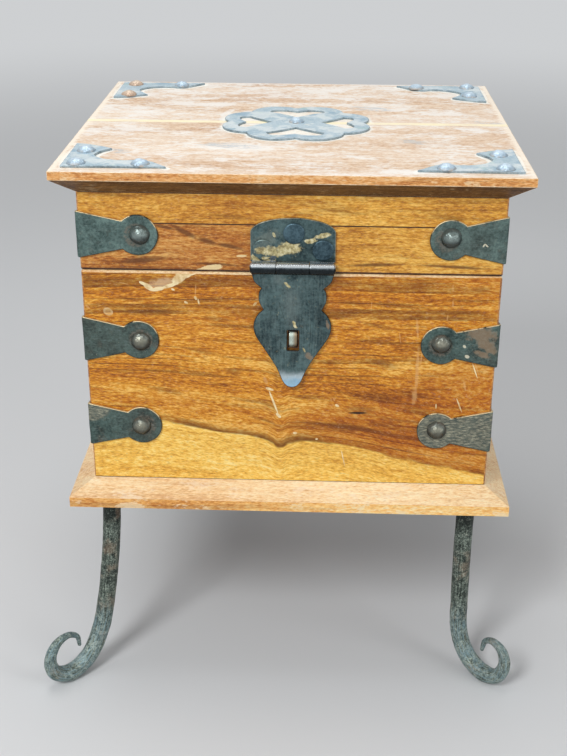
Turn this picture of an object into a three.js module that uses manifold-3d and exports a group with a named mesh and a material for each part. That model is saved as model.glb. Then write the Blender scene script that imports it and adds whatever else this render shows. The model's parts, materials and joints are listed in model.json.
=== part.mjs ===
// A small hardwood keepsake chest with a hinged lid, iron straps and hasp, on four forged scroll legs.
// Millimetres. X is to the right, Y to the back and Z up. The origin is on the floor, under the middle.

import * as THREE from 'three';
import { mergeVertices } from 'three/addons/utils/BufferGeometryUtils.js';
import Module from 'manifold-3d';

const wasm = await Module();
wasm.setup();

// Carcass
const bodyWidth = 255;
const bodyDepth = 235;
const bodyHeight = 143.7;
const wallThickness = 12;

// Base board: a square edge under a bevel that runs in to the walls
const baseOverhang = 14.7;
const baseEdge = 7;
const baseBevel = 7.7;

// Lid: walls of two glued strips under a bevelled board
const lidWallHeight = 48.9;
const lidUpperStrip = 18.8;
const lidOverhang = 13.3;
const lidBevel = 10.2;
const lidEdge = 5.2;

// Legs
const legHeight = 137.5;
const legRadius = 6;
const legSides = 10;
const legSteps = 34;
const legSetback = 12.5;
const footFlat = 0.45;
const wideLeg = {
  inset: 7.2,
  reach: 57.5,
  rise: 31,
  shankShares: [[0, 0.86], [0.04, 0.69], [0.085, 0.53]],
  curlShares: [
    [0.125, 1.48, 1], [0.24, 0.82, 1], [0.46, 0.21, 1], [0.73, 0, 1], [0.945, 0.19, 0.86],
    [1, 0.56, 0.7], [0.905, 0.9, 0.52], [0.74, 1, 0.38], [0.61, 0.86, 0.29], [0.585, 0.62, 0.22],
  ],
};
const tightLeg = {
  inset: 9.4,
  reach: 43,
  rise: 29.5,
  shankShares: [[0, 0.86], [0, 0.69], [0.01, 0.53]],
  curlShares: [
    [0.02, 1.55, 1], [0.045, 0.92, 1], [0.17, 0.4, 1], [0.4, 0.09, 1], [0.62, 0, 1],
    [0.87, 0.12, 0.86], [1, 0.53, 0.7], [0.93, 0.88, 0.55], [0.75, 1, 0.42], [0.6, 0.9, 0.32],
    [0.55, 0.63, 0.24],
  ],
};

// Mounting plates under the base, one above each leg, with four screws each
const legPlateSize = 36;
const legPlateThickness = 3;
const plateScrewRadius = 3.4;
const plateScrewHead = 1.6;
const plateScrewInset = 6.5;
const screwSides = 8;

// Sheet iron and its domed nails
const sheet = 1.4;
const nailRadius = 6.7;
const nailRise = 4.4;
const nailSides = 12;
const nailRings = 3;

// Corner straps, one round each corner at each of three levels
const strapRoot = 29;
const strapNeck = 17.8;
const strapReach = 34.7;
const strapDiscRadius = 12.6;
const lidStrapRise = 22.8;
const upperStrapDrop = 45.1;
const lowerStrapRise = 39.3;

// Corner brackets on the lid board
const bracketInsetX = 6.2;
const bracketInsetY = 8.7;
const bracketLong = 61.8;
const bracketShort = 53;
const bracketNailRadius = 6.2;
const bracketNailRise = 4.2;
const bracketNailShares = [[0.155, 0.19], [0.71, 0.17], [0.148, 0.86]];
const bracketArmShares = [[1, 0.02], [0.93, 0.11], [0.83, 0.25], [0.71, 0.325], [0.61, 0.28]];
const bracketBendShares = [[0.5, 0.29], [0.382, 0.351], [0.29, 0.46], [0.25, 0.6]];
const bracketSpurShares = [[0.25, 0.6], [0.29, 0.72], [0.38, 0.85]];
const bracketEndShares = [[0.38, 0.85], [0.25, 0.93], [0.13, 1], [0.02, 0.94], [0, 0.82]];

// Medallion in the middle of the lid: eight lobes and four heart-shaped openings
const medallionSetForward = 4;
const medallionHalfWidth = 48.5;
const medallionHalfDepth = 47;
const sideLobeRadius = 18;
const sideLobeSpread = 11;
const endLobeRadius = 19;
const endLobeSpread = 12.5;
const heartSegments = 4;
const sideHeart = { tip: 17, notch: 34, shoulder: 39.5, halfWidth: 12.5 };
const endHeart = { tip: 15.5, notch: 31.5, shoulder: 36, halfWidth: 17.5 };
const medallionNailRadius = 6;
const medallionNailRise = 4;

// Hasp: a plate on the lid, a leaf that hangs over the body, their pin and a low staple in its slot
const haspCentreX = 1.3;
const haspWidth = 51;
const haspPinDrop = 4.6;
const barrelRadius = 3.9;
const barrelSides = 14;
const barrelStandoff = 0.3;
const pinRadius = 2.2;
const pinClearance = 0.3;
const pinHeadRadius = 3;
const pinHeadLength = 1;
const middleKnuckle = 19.6;
const knuckleGap = 0.4;
const plateSide = 21.3;
const plateArch = 9.2;
const rivetRadius = 6.5;
const rivetRise = 1.1;
const rivetSides = 16;
const rivetLift = 0.3;
const topRivetHeight = 21;
const topRivetShift = 0.5;
const sideRivetSpread = 18;
const leafStandoff = 1.2;
const leafLength = 78.3;
const leafTurnOut = 13;
const leafTurnOutRise = 3;
const leafEarShares = [[0.975, 0.055], [0.91, 0.12], [0.74, 0.174]];
const leafWaistShares = [[0.74, 0.174], [0.8, 0.21], [0.8, 0.285], [0.695, 0.352]];
const leafBladeShares = [
  [0.695, 0.352], [0.83, 0.395], [0.925, 0.46], [0.925, 0.53], [0.85, 0.595], [0.655, 0.696],
  [0.42, 0.82], [0.3, 0.9], [0.225, 0.955], [0.12, 0.99],
];
const slotWidth = 7.4;
const slotHeight = 13.8;
const slotDrop = 47.7;
const slotShift = 0.5;
const stapleSideGap = 1.3;
const stapleEndGap = 1.65;
const stapleProud = 2.3;
const stapleGauge = 1.2;
const stapleClearance = 0.35;
const stapleClinch = 4;

// Two hinges on the back of the chest
const hingeStrapGap = 10.2;
const hingeWidth = 40;
const hingeLeafHeight = 27;
const hingeMiddleKnuckle = 15;
const hingeRivetSpread = 12;
const hingeRivetHeight = 16.5;
const hingeRivetRadius = 4;

// How far a cutting solid reaches past what it cuts
const overrun = 5;

// Straight sides that stand for one arc of an outline
const discSides = 14;
const lobeSides = 8;
const bracketSides = 4;
const archSides = 14;
const stapleSides = 8;
const leafSides = 2;

// Heights that follow from the sizes above
const baseBottom = legHeight;
const baseTop = baseBottom + baseEdge + baseBevel;
const splitHeight = baseTop + bodyHeight;
const lidWallTop = splitHeight + lidWallHeight;
const stripSeam = lidWallTop - lidUpperStrip;
const lidTop = lidWallTop + lidBevel + lidEdge;
const halfWidth = bodyWidth / 2;
const halfDepth = bodyDepth / 2;
const sides = [-1, 1];

const darkIron = new THREE.MeshStandardMaterial({ color: 0x3c4a4d, roughness: 0.55, metalness: 0.8 });
const forgedIron = new THREE.MeshStandardMaterial({ color: 0x4d4a45, roughness: 0.7, metalness: 0.7 });
const brightIron = new THREE.MeshStandardMaterial({ color: 0x7f8684, roughness: 0.4, metalness: 0.9 });
const wallWood = new THREE.MeshStandardMaterial({ color: 0xb5692c, roughness: 0.55, metalness: 0 });
const boardWood = new THREE.MeshStandardMaterial({ color: 0xc99a76, roughness: 0.65, metalness: 0 });

const chest = new THREE.Group();

function addPiece(name, geometry, material) {
  const finished = geometry.clone();
  finished.computeVertexNormals();
  const mesh = new THREE.Mesh(finished, material.clone());
  mesh.name = name;
  chest.add(mesh);
}

// Only positions, with shared corners merged
function weld(geometry) {
  const bare = geometry.clone();
  bare.deleteAttribute('normal');
  bare.deleteAttribute('uv');
  return mergeVertices(bare);
}

function toSolid(geometry) {
  const welded = weld(geometry);
  const vertProperties = welded.attributes.position.array;
  const triVerts = new Uint32Array(welded.index.array);
  return new wasm.Manifold(new wasm.Mesh({ numProp: 3, vertProperties, triVerts }));
}

function fromSolid(solid) {
  const mesh = solid.getMesh();
  const geometry = new THREE.BufferGeometry();
  geometry.setAttribute('position', new THREE.BufferAttribute(mesh.vertProperties, 3));
  geometry.setIndex(new THREE.BufferAttribute(mesh.triVerts, 1));
  return geometry;
}

function join(...geometries) {
  const solids = geometries.map(toSolid);
  return fromSolid(solids.reduce((whole, next) => whole.add(next)));
}

function cut(geometry, tool) {
  return fromSolid(toSolid(geometry).subtract(toSolid(tool)));
}

// Moves a geometry into the frame with axes across, up and out at an origin, turned inside
// out again where that frame is a mirrored one
function place(geometry, across, up, out, origin) {
  const frame = new THREE.Matrix4();
  frame.makeBasis(new THREE.Vector3(...across), new THREE.Vector3(...up), new THREE.Vector3(...out));
  frame.setPosition(...origin);
  const placed = weld(geometry);
  placed.applyMatrix4(frame);
  if (frame.determinant() < 0) {
    const corners = placed.index.array;
    for (let i = 0; i < corners.length; i += 3) {
      [corners[i + 1], corners[i + 2]] = [corners[i + 2], corners[i + 1]];
    }
  }
  return placed;
}

// Each arc of the outline gets the given number of straight sides
function extrude(shape, depth, arcSides = discSides) {
  return new THREE.ExtrudeGeometry(shape, { depth, bevelEnabled: false, curveSegments: arcSides / 2 });
}

function box(x0, x1, y0, y1, z0, z1) {
  const geometry = new THREE.BoxGeometry(x1 - x0, y1 - y0, z1 - z0);
  return geometry.translate((x0 + x1) / 2, (y0 + y1) / 2, (z0 + z1) / 2);
}

function rectangle(x0, x1, y0, y1) {
  const outline = new THREE.Path();
  outline.moveTo(x0, y0);
  outline.lineTo(x1, y0);
  outline.lineTo(x1, y1);
  outline.lineTo(x0, y1);
  outline.closePath();
  return outline;
}

// A solid through a stack of level rectangles, given from the bottom up
function stack(levels) {
  const positions = [];
  const index = [];
  for (const { x0, x1, y0, y1, z } of levels) {
    positions.push(x0, y0, z, x1, y0, z, x1, y1, z, x0, y1, z);
  }
  index.push(0, 2, 1, 0, 3, 2);
  for (let level = 1; level < levels.length; level += 1) {
    const low = (level - 1) * 4;
    for (let side = 0; side < 4; side += 1) {
      const a = low + side;
      const b = low + ((side + 1) % 4);
      index.push(a, b, b + 4, a, b + 4, a + 4);
    }
  }
  const top = (levels.length - 1) * 4;
  index.push(top, top + 1, top + 2, top, top + 2, top + 3);
  const geometry = new THREE.BufferGeometry();
  geometry.setAttribute('position', new THREE.Float32BufferAttribute(positions, 3));
  geometry.setIndex(index);
  return geometry;
}

// A domed nail head that stands on z = 0 and is rooted in the sheet below it
function domedHead(radius, rise) {
  const root = sheet / 2;
  const profile = [new THREE.Vector2(0, -root), new THREE.Vector2(radius, -root)];
  for (let ring = 0; ring < nailRings; ring += 1) {
    const angle = (ring / nailRings) * (Math.PI / 2);
    profile.push(new THREE.Vector2(radius * Math.cos(angle), rise * Math.sin(angle)));
  }
  profile.push(new THREE.Vector2(0, rise));
  return new THREE.LatheGeometry(profile, nailSides).rotateX(Math.PI / 2);
}

// A straight-sided head between two heights, with its axis along Z
function flatHead(radius, low, high, count) {
  const geometry = new THREE.CylinderGeometry(radius, radius, high - low, count);
  return geometry.rotateX(Math.PI / 2).translate(0, 0, (low + high) / 2);
}

// Boards of the lid and the base, each of two halves that meet in the middle
function halfBoard(sideY, levels) {
  return stack(levels.map(({ overhang, z }) => ({
    x0: -halfWidth - overhang,
    x1: halfWidth + overhang,
    y0: sideY < 0 ? -halfDepth - overhang : 0,
    y1: sideY < 0 ? 0 : halfDepth + overhang,
    z,
  })));
}

function addBoards() {
  const base = [
    { overhang: baseOverhang, z: baseBottom },
    { overhang: baseOverhang, z: baseBottom + baseEdge },
    { overhang: 0, z: baseTop },
  ];
  const lid = [
    { overhang: 0, z: lidWallTop },
    { overhang: lidOverhang, z: lidWallTop + lidBevel },
    { overhang: lidOverhang, z: lidTop },
  ];
  for (const [name, sideY] of [['front', -1], ['rear', 1]]) {
    addPiece(`base_board_${name}`, halfBoard(sideY, base), boardWood);
    addPiece(`lid_board_${name}`, halfBoard(sideY, lid), boardWood);
  }
}

// Four walls between two heights: front and back at full width, the ends between them
function addWalls(prefix, low, high, names = ['front', 'back', 'left', 'right']) {
  const inX = halfWidth - wallThickness;
  const inY = halfDepth - wallThickness;
  const walls = {
    front: [-halfWidth, halfWidth, -halfDepth, -inY],
    back: [-halfWidth, halfWidth, inY, halfDepth],
    left: [-halfWidth, -inX, -inY, inY],
    right: [inX, halfWidth, -inY, inY],
  };
  for (const name of names) {
    addPiece(`${prefix}_${name}`, box(...walls[name], low, high), wallWood);
  }
}

const stapleWidth = slotWidth - 2 * stapleSideGap;
const stapleHeight = slotHeight - 2 * stapleEndGap;
const slotX = haspCentreX + slotShift;
const haspPinHeight = splitHeight + haspPinDrop;
const slotCentre = haspPinHeight - slotDrop;

// The front wall has two narrow slots that the staple's prongs pass through
function addBodyFront() {
  const wall = new THREE.Shape(rectangle(-halfWidth, halfWidth, baseTop, splitHeight).getPoints());
  const halfSlot = stapleWidth / 2 + stapleClearance;
  const outer = stapleHeight / 2 + stapleClearance;
  const inner = stapleHeight / 2 - stapleGauge - stapleClearance;
  for (const end of sides) {
    const low = slotCentre + Math.min(end * outer, end * inner);
    const high = slotCentre + Math.max(end * outer, end * inner);
    wall.holes.push(rectangle(slotX - halfSlot, slotX + halfSlot, low, high));
  }
  const board = extrude(wall, wallThickness);
  const innerFace = -halfDepth + wallThickness;
  addPiece('body_front', place(board, [1, 0, 0], [0, 0, 1], [0, -1, 0], [0, innerFace, 0]), wallWood);
}

// One arm of a corner strap, drawn from the corner outward with its nail. It starts one sheet
// before the corner, so that the two arms of a strap overlap there.
function strapArm() {
  const neckAngle = Math.asin(strapNeck / 2 / strapDiscRadius);
  const neckReach = strapReach - strapDiscRadius * Math.cos(neckAngle);
  const shape = new THREE.Shape();
  shape.moveTo(-sheet, -strapRoot / 2);
  shape.lineTo(neckReach, -strapNeck / 2);
  shape.absarc(strapReach, 0, strapDiscRadius, neckAngle - Math.PI, Math.PI - neckAngle, false);
  shape.lineTo(-sheet, strapRoot / 2);
  shape.closePath();
  const nail = domedHead(nailRadius, nailRise).translate(strapReach, 0, sheet);
  return join(extrude(shape, sheet), nail);
}

function addStraps() {
  const arm = strapArm();
  const levels = {
    lid: splitHeight + lidStrapRise,
    upper: splitHeight - upperStrapDrop,
    lower: baseTop + lowerStrapRise,
  };
  for (const [level, z] of Object.entries(levels)) {
    for (const [depthName, sideY] of [['front', -1], ['rear', 1]]) {
      for (const [sideName, sideX] of [['left', -1], ['right', 1]]) {
        const corner = [sideX * halfWidth, sideY * halfDepth, z];
        const alongX = place(arm, [-sideX, 0, 0], [0, 0, 1], [0, sideY, 0], corner);
        const alongY = place(arm, [0, -sideY, 0], [0, 0, 1], [sideX, 0, 0], corner);
        addPiece(`strap_${level}_${depthName}_${sideName}`, join(alongX, alongY), darkIron);
      }
    }
  }
}

// One corner bracket in its own frame: its long arm runs along X and its short arm along Y
function bracket() {
  const at = ([x, y]) => new THREE.Vector2(x * bracketLong, y * bracketShort);
  const shape = new THREE.Shape();
  shape.moveTo(0, 0);
  shape.lineTo(...at(bracketArmShares[0]).toArray());
  for (const stretch of [bracketArmShares, bracketBendShares, bracketSpurShares, bracketEndShares]) {
    shape.lineTo(...at(stretch[0]).toArray());
    shape.splineThru(stretch.slice(1).map(at));
  }
  shape.closePath();
  const nails = bracketNailShares.map((share) => {
    const { x, y } = at(share);
    return domedHead(bracketNailRadius, bracketNailRise).translate(x, y, sheet);
  });
  return join(extrude(shape, sheet, bracketSides), ...nails);
}

function addBrackets() {
  const plate = bracket();
  const cornerX = halfWidth + lidOverhang - bracketInsetX;
  const cornerY = halfDepth + lidOverhang - bracketInsetY;
  for (const [depthName, sideY] of [['front', -1], ['rear', 1]]) {
    for (const [sideName, sideX] of [['left', -1], ['right', 1]]) {
      const corner = [sideX * cornerX, sideY * cornerY, lidTop];
      const placed = place(plate, [-sideX, 0, 0], [0, -sideY, 0], [0, 0, 1], corner);
      addPiece(`lid_bracket_${depthName}_${sideName}`, placed, darkIron);
    }
  }
}

// Where two neighbouring lobes of the medallion meet, on the side away from its middle
function lobeNotch(a, b) {
  const apart = b.centre.clone().sub(a.centre);
  const gap = apart.length();
  const along = (gap * gap + a.radius * a.radius - b.radius * b.radius) / (2 * gap);
  const aside = Math.sqrt(a.radius * a.radius - along * along);
  apart.normalize();
  const outward = new THREE.Vector2(apart.y, -apart.x);
  return a.centre.clone().addScaledVector(apart, along).addScaledVector(outward, aside);
}

// The eight lobes, anticlockwise from the lower one on the right
function medallionLobes() {
  const sideX = medallionHalfWidth - sideLobeRadius;
  const endY = medallionHalfDepth - endLobeRadius;
  const lobe = (x, y, radius) => ({ centre: new THREE.Vector2(x, y), radius });
  return [
    lobe(sideX, -sideLobeSpread, sideLobeRadius),
    lobe(sideX, sideLobeSpread, sideLobeRadius),
    lobe(endLobeSpread, endY, endLobeRadius),
    lobe(-endLobeSpread, endY, endLobeRadius),
    lobe(-sideX, sideLobeSpread, sideLobeRadius),
    lobe(-sideX, -sideLobeSpread, sideLobeRadius),
    lobe(-endLobeSpread, -endY, endLobeRadius),
    lobe(endLobeSpread, -endY, endLobeRadius),
  ];
}

// A heart-shaped opening whose tip points to the middle, drawn along +X and turned by quarters
function heartOpening({ tip, notch, shoulder, halfWidth: half }, quarterTurns) {
  const lobeShare = 0.55;
  const heart = new THREE.Path();
  const middle = tip + (notch - tip) * lobeShare;
  heart.moveTo(tip, 0);
  heart.quadraticCurveTo(middle, -half * lobeShare, shoulder - half / 2, -half);
  heart.bezierCurveTo(shoulder, -half, shoulder, -half / 2, notch, 0);
  heart.bezierCurveTo(shoulder, half / 2, shoulder, half, shoulder - half / 2, half);
  heart.quadraticCurveTo(middle, half * lobeShare, tip, 0);
  const turn = (quarterTurns * Math.PI) / 2;
  const points = heart.getPoints(heartSegments);
  return new THREE.Path(points.map((point) => point.rotateAround(new THREE.Vector2(0, 0), turn)));
}

function addMedallion() {
  const lobes = medallionLobes();
  const shape = new THREE.Shape();
  lobes.forEach((lobe, i) => {
    const before = lobes[(i + lobes.length - 1) % lobes.length];
    const after = lobes[(i + 1) % lobes.length];
    const start = lobeNotch(before, lobe).sub(lobe.centre).angle();
    const end = lobeNotch(lobe, after).sub(lobe.centre).angle();
    shape.absarc(lobe.centre.x, lobe.centre.y, lobe.radius, start, end, false);
  });
  shape.holes.push(heartOpening(sideHeart, 0), heartOpening(endHeart, 1));
  shape.holes.push(heartOpening(sideHeart, 2), heartOpening(endHeart, 3));
  const centre = [0, -medallionSetForward, lidTop];
  const upright = [[1, 0, 0], [0, 1, 0], [0, 0, 1]];
  addPiece('medallion', place(extrude(shape, sheet, lobeSides), ...upright, centre), darkIron);
  const nail = domedHead(medallionNailRadius, medallionNailRise).translate(0, 0, sheet / 2);
  addPiece('medallion_nail', place(nail, ...upright, [centre[0], centre[1], lidTop + sheet]), darkIron);
}

// A rod along X between two places
function rodAlongX(radius, from, to, y, z) {
  const rod = flatHead(radius, from, to, barrelSides);
  return place(rod, [0, 1, 0], [0, 0, 1], [1, 0, 0], [0, y, z]);
}

// Joins the sheets of one side of a hinge to its knuckles and bores them for the pin
function hingeSide(sheets, knuckles, y, z) {
  const barrels = knuckles.map(([from, to]) => rodAlongX(barrelRadius, from, to, y, z));
  const starts = knuckles.map(([from]) => from);
  const ends = knuckles.map(([, to]) => to);
  const low = Math.min(...starts) - overrun;
  const high = Math.max(...ends) + overrun;
  return cut(join(...sheets, ...barrels), rodAlongX(pinRadius + pinClearance, low, high, y, z));
}

// A pin along X with a button at each end, just clear of the outer knuckles
function hingePin(centreX, length, y, z) {
  const reach = length / 2 + pinClearance;
  const tip = reach + pinHeadLength;
  const profile = [[0, -tip], [pinHeadRadius, -tip], [pinHeadRadius, -reach], [pinRadius, -reach]];
  profile.push([pinRadius, reach], [pinHeadRadius, reach], [pinHeadRadius, tip], [0, tip]);
  const points = profile.map(([radius, along]) => new THREE.Vector2(radius, along));
  const pin = new THREE.LatheGeometry(points, barrelSides);
  return place(pin, [0, 1, 0], [1, 0, 0], [0, 0, -1], [centreX, y, z]);
}

// The plate side of a hinge in its own frame: across along X, up along Y and out along Z, with the
// pin at the origin. The two end knuckles belong to it, and its foot is cut away between them.
function plateOutline(width, side, arch, middle) {
  const half = width / 2;
  const relief = middle / 2 + knuckleGap;
  const step = barrelRadius + knuckleGap;
  const shape = new THREE.Shape();
  shape.moveTo(-half, 0);
  shape.lineTo(-relief, 0);
  shape.lineTo(-relief, step);
  shape.lineTo(relief, step);
  shape.lineTo(relief, 0);
  shape.lineTo(half, 0);
  shape.lineTo(half, side);
  if (arch > 0) {
    shape.absellipse(0, side, half, arch, 0, Math.PI, false, 0);
  }
  shape.lineTo(-half, side);
  shape.closePath();
  return shape;
}

// Distance from a wall's face to the middle of a barrel on it
const barrelOut = barrelRadius + barrelStandoff;
const haspPinY = -halfDepth - barrelOut;

function addHaspPlate() {
  const half = haspWidth / 2;
  const outline = plateOutline(haspWidth, plateSide, plateArch, middleKnuckle);
  const origin = [haspCentreX, -halfDepth, haspPinHeight];
  const flat = place(extrude(outline, sheet, archSides), [1, 0, 0], [0, 0, 1], [0, -1, 0], origin);
  const inner = middleKnuckle / 2 + knuckleGap;
  const left = [haspCentreX - half, haspCentreX - inner];
  const right = [haspCentreX + inner, haspCentreX + half];
  addPiece('hasp_plate', hingeSide([flat], [left, right], haspPinY, haspPinHeight), darkIron);

  const sideRivetHeight = barrelRadius + rivetRadius + rivetLift;
  const rivets = {
    top: [topRivetShift, topRivetHeight],
    left: [-sideRivetSpread, sideRivetHeight],
    right: [sideRivetSpread, sideRivetHeight],
  };
  for (const [name, [across, up]] of Object.entries(rivets)) {
    const head = flatHead(rivetRadius, 0, rivetRise, rivetSides);
    const seat = [haspCentreX + across, -halfDepth - sheet, haspPinHeight + up];
    addPiece(`hasp_rivet_${name}`, place(head, [1, 0, 0], [0, 0, 1], [0, -1, 0], seat), darkIron);
  }
}

// The leaf's outline hangs below the pin. Shares are of half its width and of its length, down
// its left side; the blade is one curve round the tip.
function leafOutline() {
  const half = haspWidth / 2;
  const top = -barrelRadius - knuckleGap;
  const tongue = middleKnuckle / 2;
  const onLeft = ([across, down]) => new THREE.Vector2(-across * half, -down * leafLength);
  const onRight = ([across, down]) => new THREE.Vector2(across * half, -down * leafLength);
  const tip = new THREE.Vector2(0, -leafLength);
  const backwards = (shares) => [...shares].reverse().map(onRight);
  const shape = new THREE.Shape();
  shape.moveTo(-tongue, 0);
  shape.lineTo(-tongue, top);
  shape.lineTo(onLeft(leafEarShares[0]).x, top);
  shape.splineThru(leafEarShares.slice(1).map(onLeft));
  shape.splineThru(leafWaistShares.slice(1).map(onLeft));
  shape.splineThru([...leafBladeShares.slice(1).map(onLeft), tip, ...backwards(leafBladeShares)]);
  shape.splineThru(backwards(leafWaistShares).slice(1));
  shape.splineThru([...backwards(leafEarShares).slice(1, -1), onRight([leafEarShares[0][0], -top / leafLength])]);
  shape.lineTo(tongue, top);
  shape.lineTo(tongue, 0);
  shape.closePath();
  const [left, right] = sides.map((side) => slotShift + side * (slotWidth / 2));
  const [low, high] = sides.map((side) => side * (slotHeight / 2) - slotDrop);
  shape.holes.push(rectangle(left, right, low, high));
  return shape;
}

// Bends the end of the leaf outward in a smooth curve
function turnOut(geometry) {
  const positions = geometry.attributes.position;
  const start = leafTurnOut - leafLength;
  for (let i = 0; i < positions.count; i += 1) {
    const past = Math.max(0, start - positions.getY(i)) / leafTurnOut;
    positions.setZ(i, positions.getZ(i) + leafTurnOutRise * past * past);
  }
  return geometry;
}

function addHaspLeaf() {
  const sheetBack = [haspCentreX, -halfDepth - leafStandoff, haspPinHeight];
  const flat = turnOut(extrude(leafOutline(), sheet, leafSides));
  const leaf = place(flat, [1, 0, 0], [0, 0, 1], [0, -1, 0], sheetBack);
  const half = middleKnuckle / 2;
  const middle = [haspCentreX - half, haspCentreX + half];
  addPiece('hasp_leaf', hingeSide([leaf], [middle], haspPinY, haspPinHeight), darkIron);
  addPiece('hasp_pin', hingePin(haspCentreX, haspWidth, haspPinY, haspPinHeight), brightIron);
}

// A low staple of flat strip: a shallow bridge, two prongs through the wall and their clinched ends.
// Drawn with the wall's outer face on the Y axis and the inside of the chest towards -X.
function addStaple() {
  const outer = stapleHeight / 2;
  const inner = outer - stapleGauge;
  const depth = -wallThickness;
  const bridge = (proud, half) => {
    const radius = (half * half + proud * proud) / (2 * proud);
    const sweep = Math.asin(half / radius);
    return { centre: proud - radius, radius, sweep };
  };
  const crown = bridge(stapleProud, outer);
  const hollow = bridge(stapleProud - stapleGauge, inner);
  const shape = new THREE.Shape();
  shape.moveTo(depth, -outer);
  shape.lineTo(0, -outer);
  shape.absarc(crown.centre, 0, crown.radius, -crown.sweep, crown.sweep, false);
  shape.lineTo(depth, outer);
  shape.lineTo(depth, outer + stapleClinch);
  shape.lineTo(depth - stapleGauge, outer + stapleClinch);
  shape.lineTo(depth - stapleGauge, inner);
  shape.absarc(hollow.centre, 0, hollow.radius, hollow.sweep, -hollow.sweep, true);
  shape.lineTo(depth - stapleGauge, -inner);
  shape.lineTo(depth - stapleGauge, -outer - stapleClinch);
  shape.lineTo(depth, -outer - stapleClinch);
  shape.closePath();
  const origin = [slotX - stapleWidth / 2, -halfDepth, slotCentre];
  const strip = extrude(shape, stapleWidth, stapleSides);
  addPiece('hasp_staple', place(strip, [0, -1, 0], [0, 0, 1], [1, 0, 0], origin), brightIron);
}

// Hinges on the back, inside the straps: the body leaf has the end knuckles, the lid leaf the middle
function addHinges() {
  const pinY = halfDepth + barrelOut;
  const half = hingeWidth / 2;
  const tongue = hingeMiddleKnuckle / 2;
  const fromCorner = strapReach + strapDiscRadius + hingeStrapGap + half;
  for (const [name, sideX] of [['left', -1], ['right', 1]]) {
    const centreX = sideX * (halfWidth - fromCorner);
    const face = [centreX, halfDepth, splitHeight];
    const outline = plateOutline(hingeWidth, hingeLeafHeight, 0, hingeMiddleKnuckle);
    const bodySheet = place(extrude(outline, sheet), [1, 0, 0], [0, 0, -1], [0, 1, 0], face);
    const inner = tongue + knuckleGap;
    const ends = [[centreX - half, centreX - inner], [centreX + inner, centreX + half]];
    const bodySheets = [bodySheet, ...leafRivets(face, -1)];
    addPiece(`hinge_body_leaf_${name}`, hingeSide(bodySheets, ends, pinY, splitHeight), darkIron);

    const flag = rectangle(-half, half, barrelRadius + knuckleGap, hingeLeafHeight);
    const lidSheets = [rectangle(-tongue, tongue, 0, hingeLeafHeight), flag].map((outlinePart) => {
      const part = extrude(new THREE.Shape(outlinePart.getPoints()), sheet);
      return place(part, [1, 0, 0], [0, 0, 1], [0, 1, 0], face);
    });
    lidSheets.push(...leafRivets(face, 1));
    const middle = [[centreX - tongue, centreX + tongue]];
    addPiece(`hinge_lid_leaf_${name}`, hingeSide(lidSheets, middle, pinY, splitHeight), darkIron);
    addPiece(`hinge_pin_${name}`, hingePin(centreX, hingeWidth, pinY, splitHeight), brightIron);
  }
}

function leafRivets([x, y, z], sideZ) {
  return sides.map((sideX) => {
    const seat = [x + sideX * hingeRivetSpread, y + sheet, z + sideZ * hingeRivetHeight];
    const head = flatHead(hingeRivetRadius, -sheet / 2, rivetRise, screwSides);
    return place(head, [1, 0, 0], [0, 0, 1], [0, 1, 0], seat);
  });
}

// The leg's middle line in its own upright plane: how far out, how high and how thick, as shares
function legPath(style) {
  const stations = style.shankShares.map(([out, up]) => (
    { out: out * style.reach, up: up * legHeight, radius: legRadius }
  ));
  stations.unshift({ out: 0, up: legHeight - legPlateThickness, radius: legRadius });
  const footLevel = legRadius - footFlat;
  style.curlShares.forEach(([out, up, thickness]) => stations.push({
    out: out * style.reach,
    up: footLevel + up * style.rise,
    radius: thickness * legRadius,
  }));
  return stations;
}

// A tapering rod along that line. Each ring has a flat to the inside and to the outside of the bend.
function scrollRod(style) {
  const stations = legPath(style);
  const points = stations.map(({ out, up }) => new THREE.Vector3(out, up, 0));
  const line = new THREE.CatmullRomCurve3(points, false, 'centripetal');
  const positions = [];
  const index = [];
  const wrap = (ring, side) => ring * legSides + (side % legSides);
  for (let ring = 0; ring <= legSteps; ring += 1) {
    const share = ring / legSteps;
    const span = Math.min(share * (stations.length - 1), stations.length - 1);
    const before = Math.min(Math.floor(span), stations.length - 2);
    const radius = THREE.MathUtils.lerp(stations[before].radius, stations[before + 1].radius, span - before);
    const corner = radius / Math.cos(Math.PI / legSides);
    const centre = line.getPoint(share);
    const heading = ring === 0 ? new THREE.Vector3(0, -1, 0) : line.getTangent(share);
    const normal = new THREE.Vector3(-heading.y, heading.x, 0);
    for (let side = 0; side < legSides; side += 1) {
      const angle = ((side + 0.5) / legSides) * Math.PI * 2;
      const point = centre.clone().addScaledVector(normal, corner * Math.cos(angle));
      positions.push(point.x, point.y, corner * Math.sin(angle));
    }
  }
  for (let ring = 0; ring < legSteps; ring += 1) {
    for (let side = 0; side < legSides; side += 1) {
      const [a, b] = [wrap(ring, side), wrap(ring, side + 1)];
      const [c, d] = [wrap(ring + 1, side), wrap(ring + 1, side + 1)];
      index.push(a, b, d, a, d, c);
    }
  }
  for (let side = 1; side < legSides - 1; side += 1) {
    index.push(wrap(0, 0), wrap(0, side + 1), wrap(0, side));
    index.push(wrap(legSteps, 0), wrap(legSteps, side), wrap(legSteps, side + 1));
  }
  const rod = new THREE.BufferGeometry();
  rod.setAttribute('position', new THREE.Float32BufferAttribute(positions, 3));
  rod.setIndex(index);
  return rod;
}

// A square plate with four screw heads under it, drawn downward from the base
function legPlate() {
  const half = legPlateSize / 2;
  const plate = box(-half, half, -half, half, -legPlateThickness, 0);
  const screw = half - plateScrewInset;
  const root = -legPlateThickness / 2;
  const heads = sides.flatMap((x) => sides.map((y) => (
    flatHead(plateScrewRadius, -legPlateThickness - plateScrewHead, root, screwSides)
      .translate(x * screw, y * screw, 0)
  )));
  return join(plate, ...heads);
}

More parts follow.
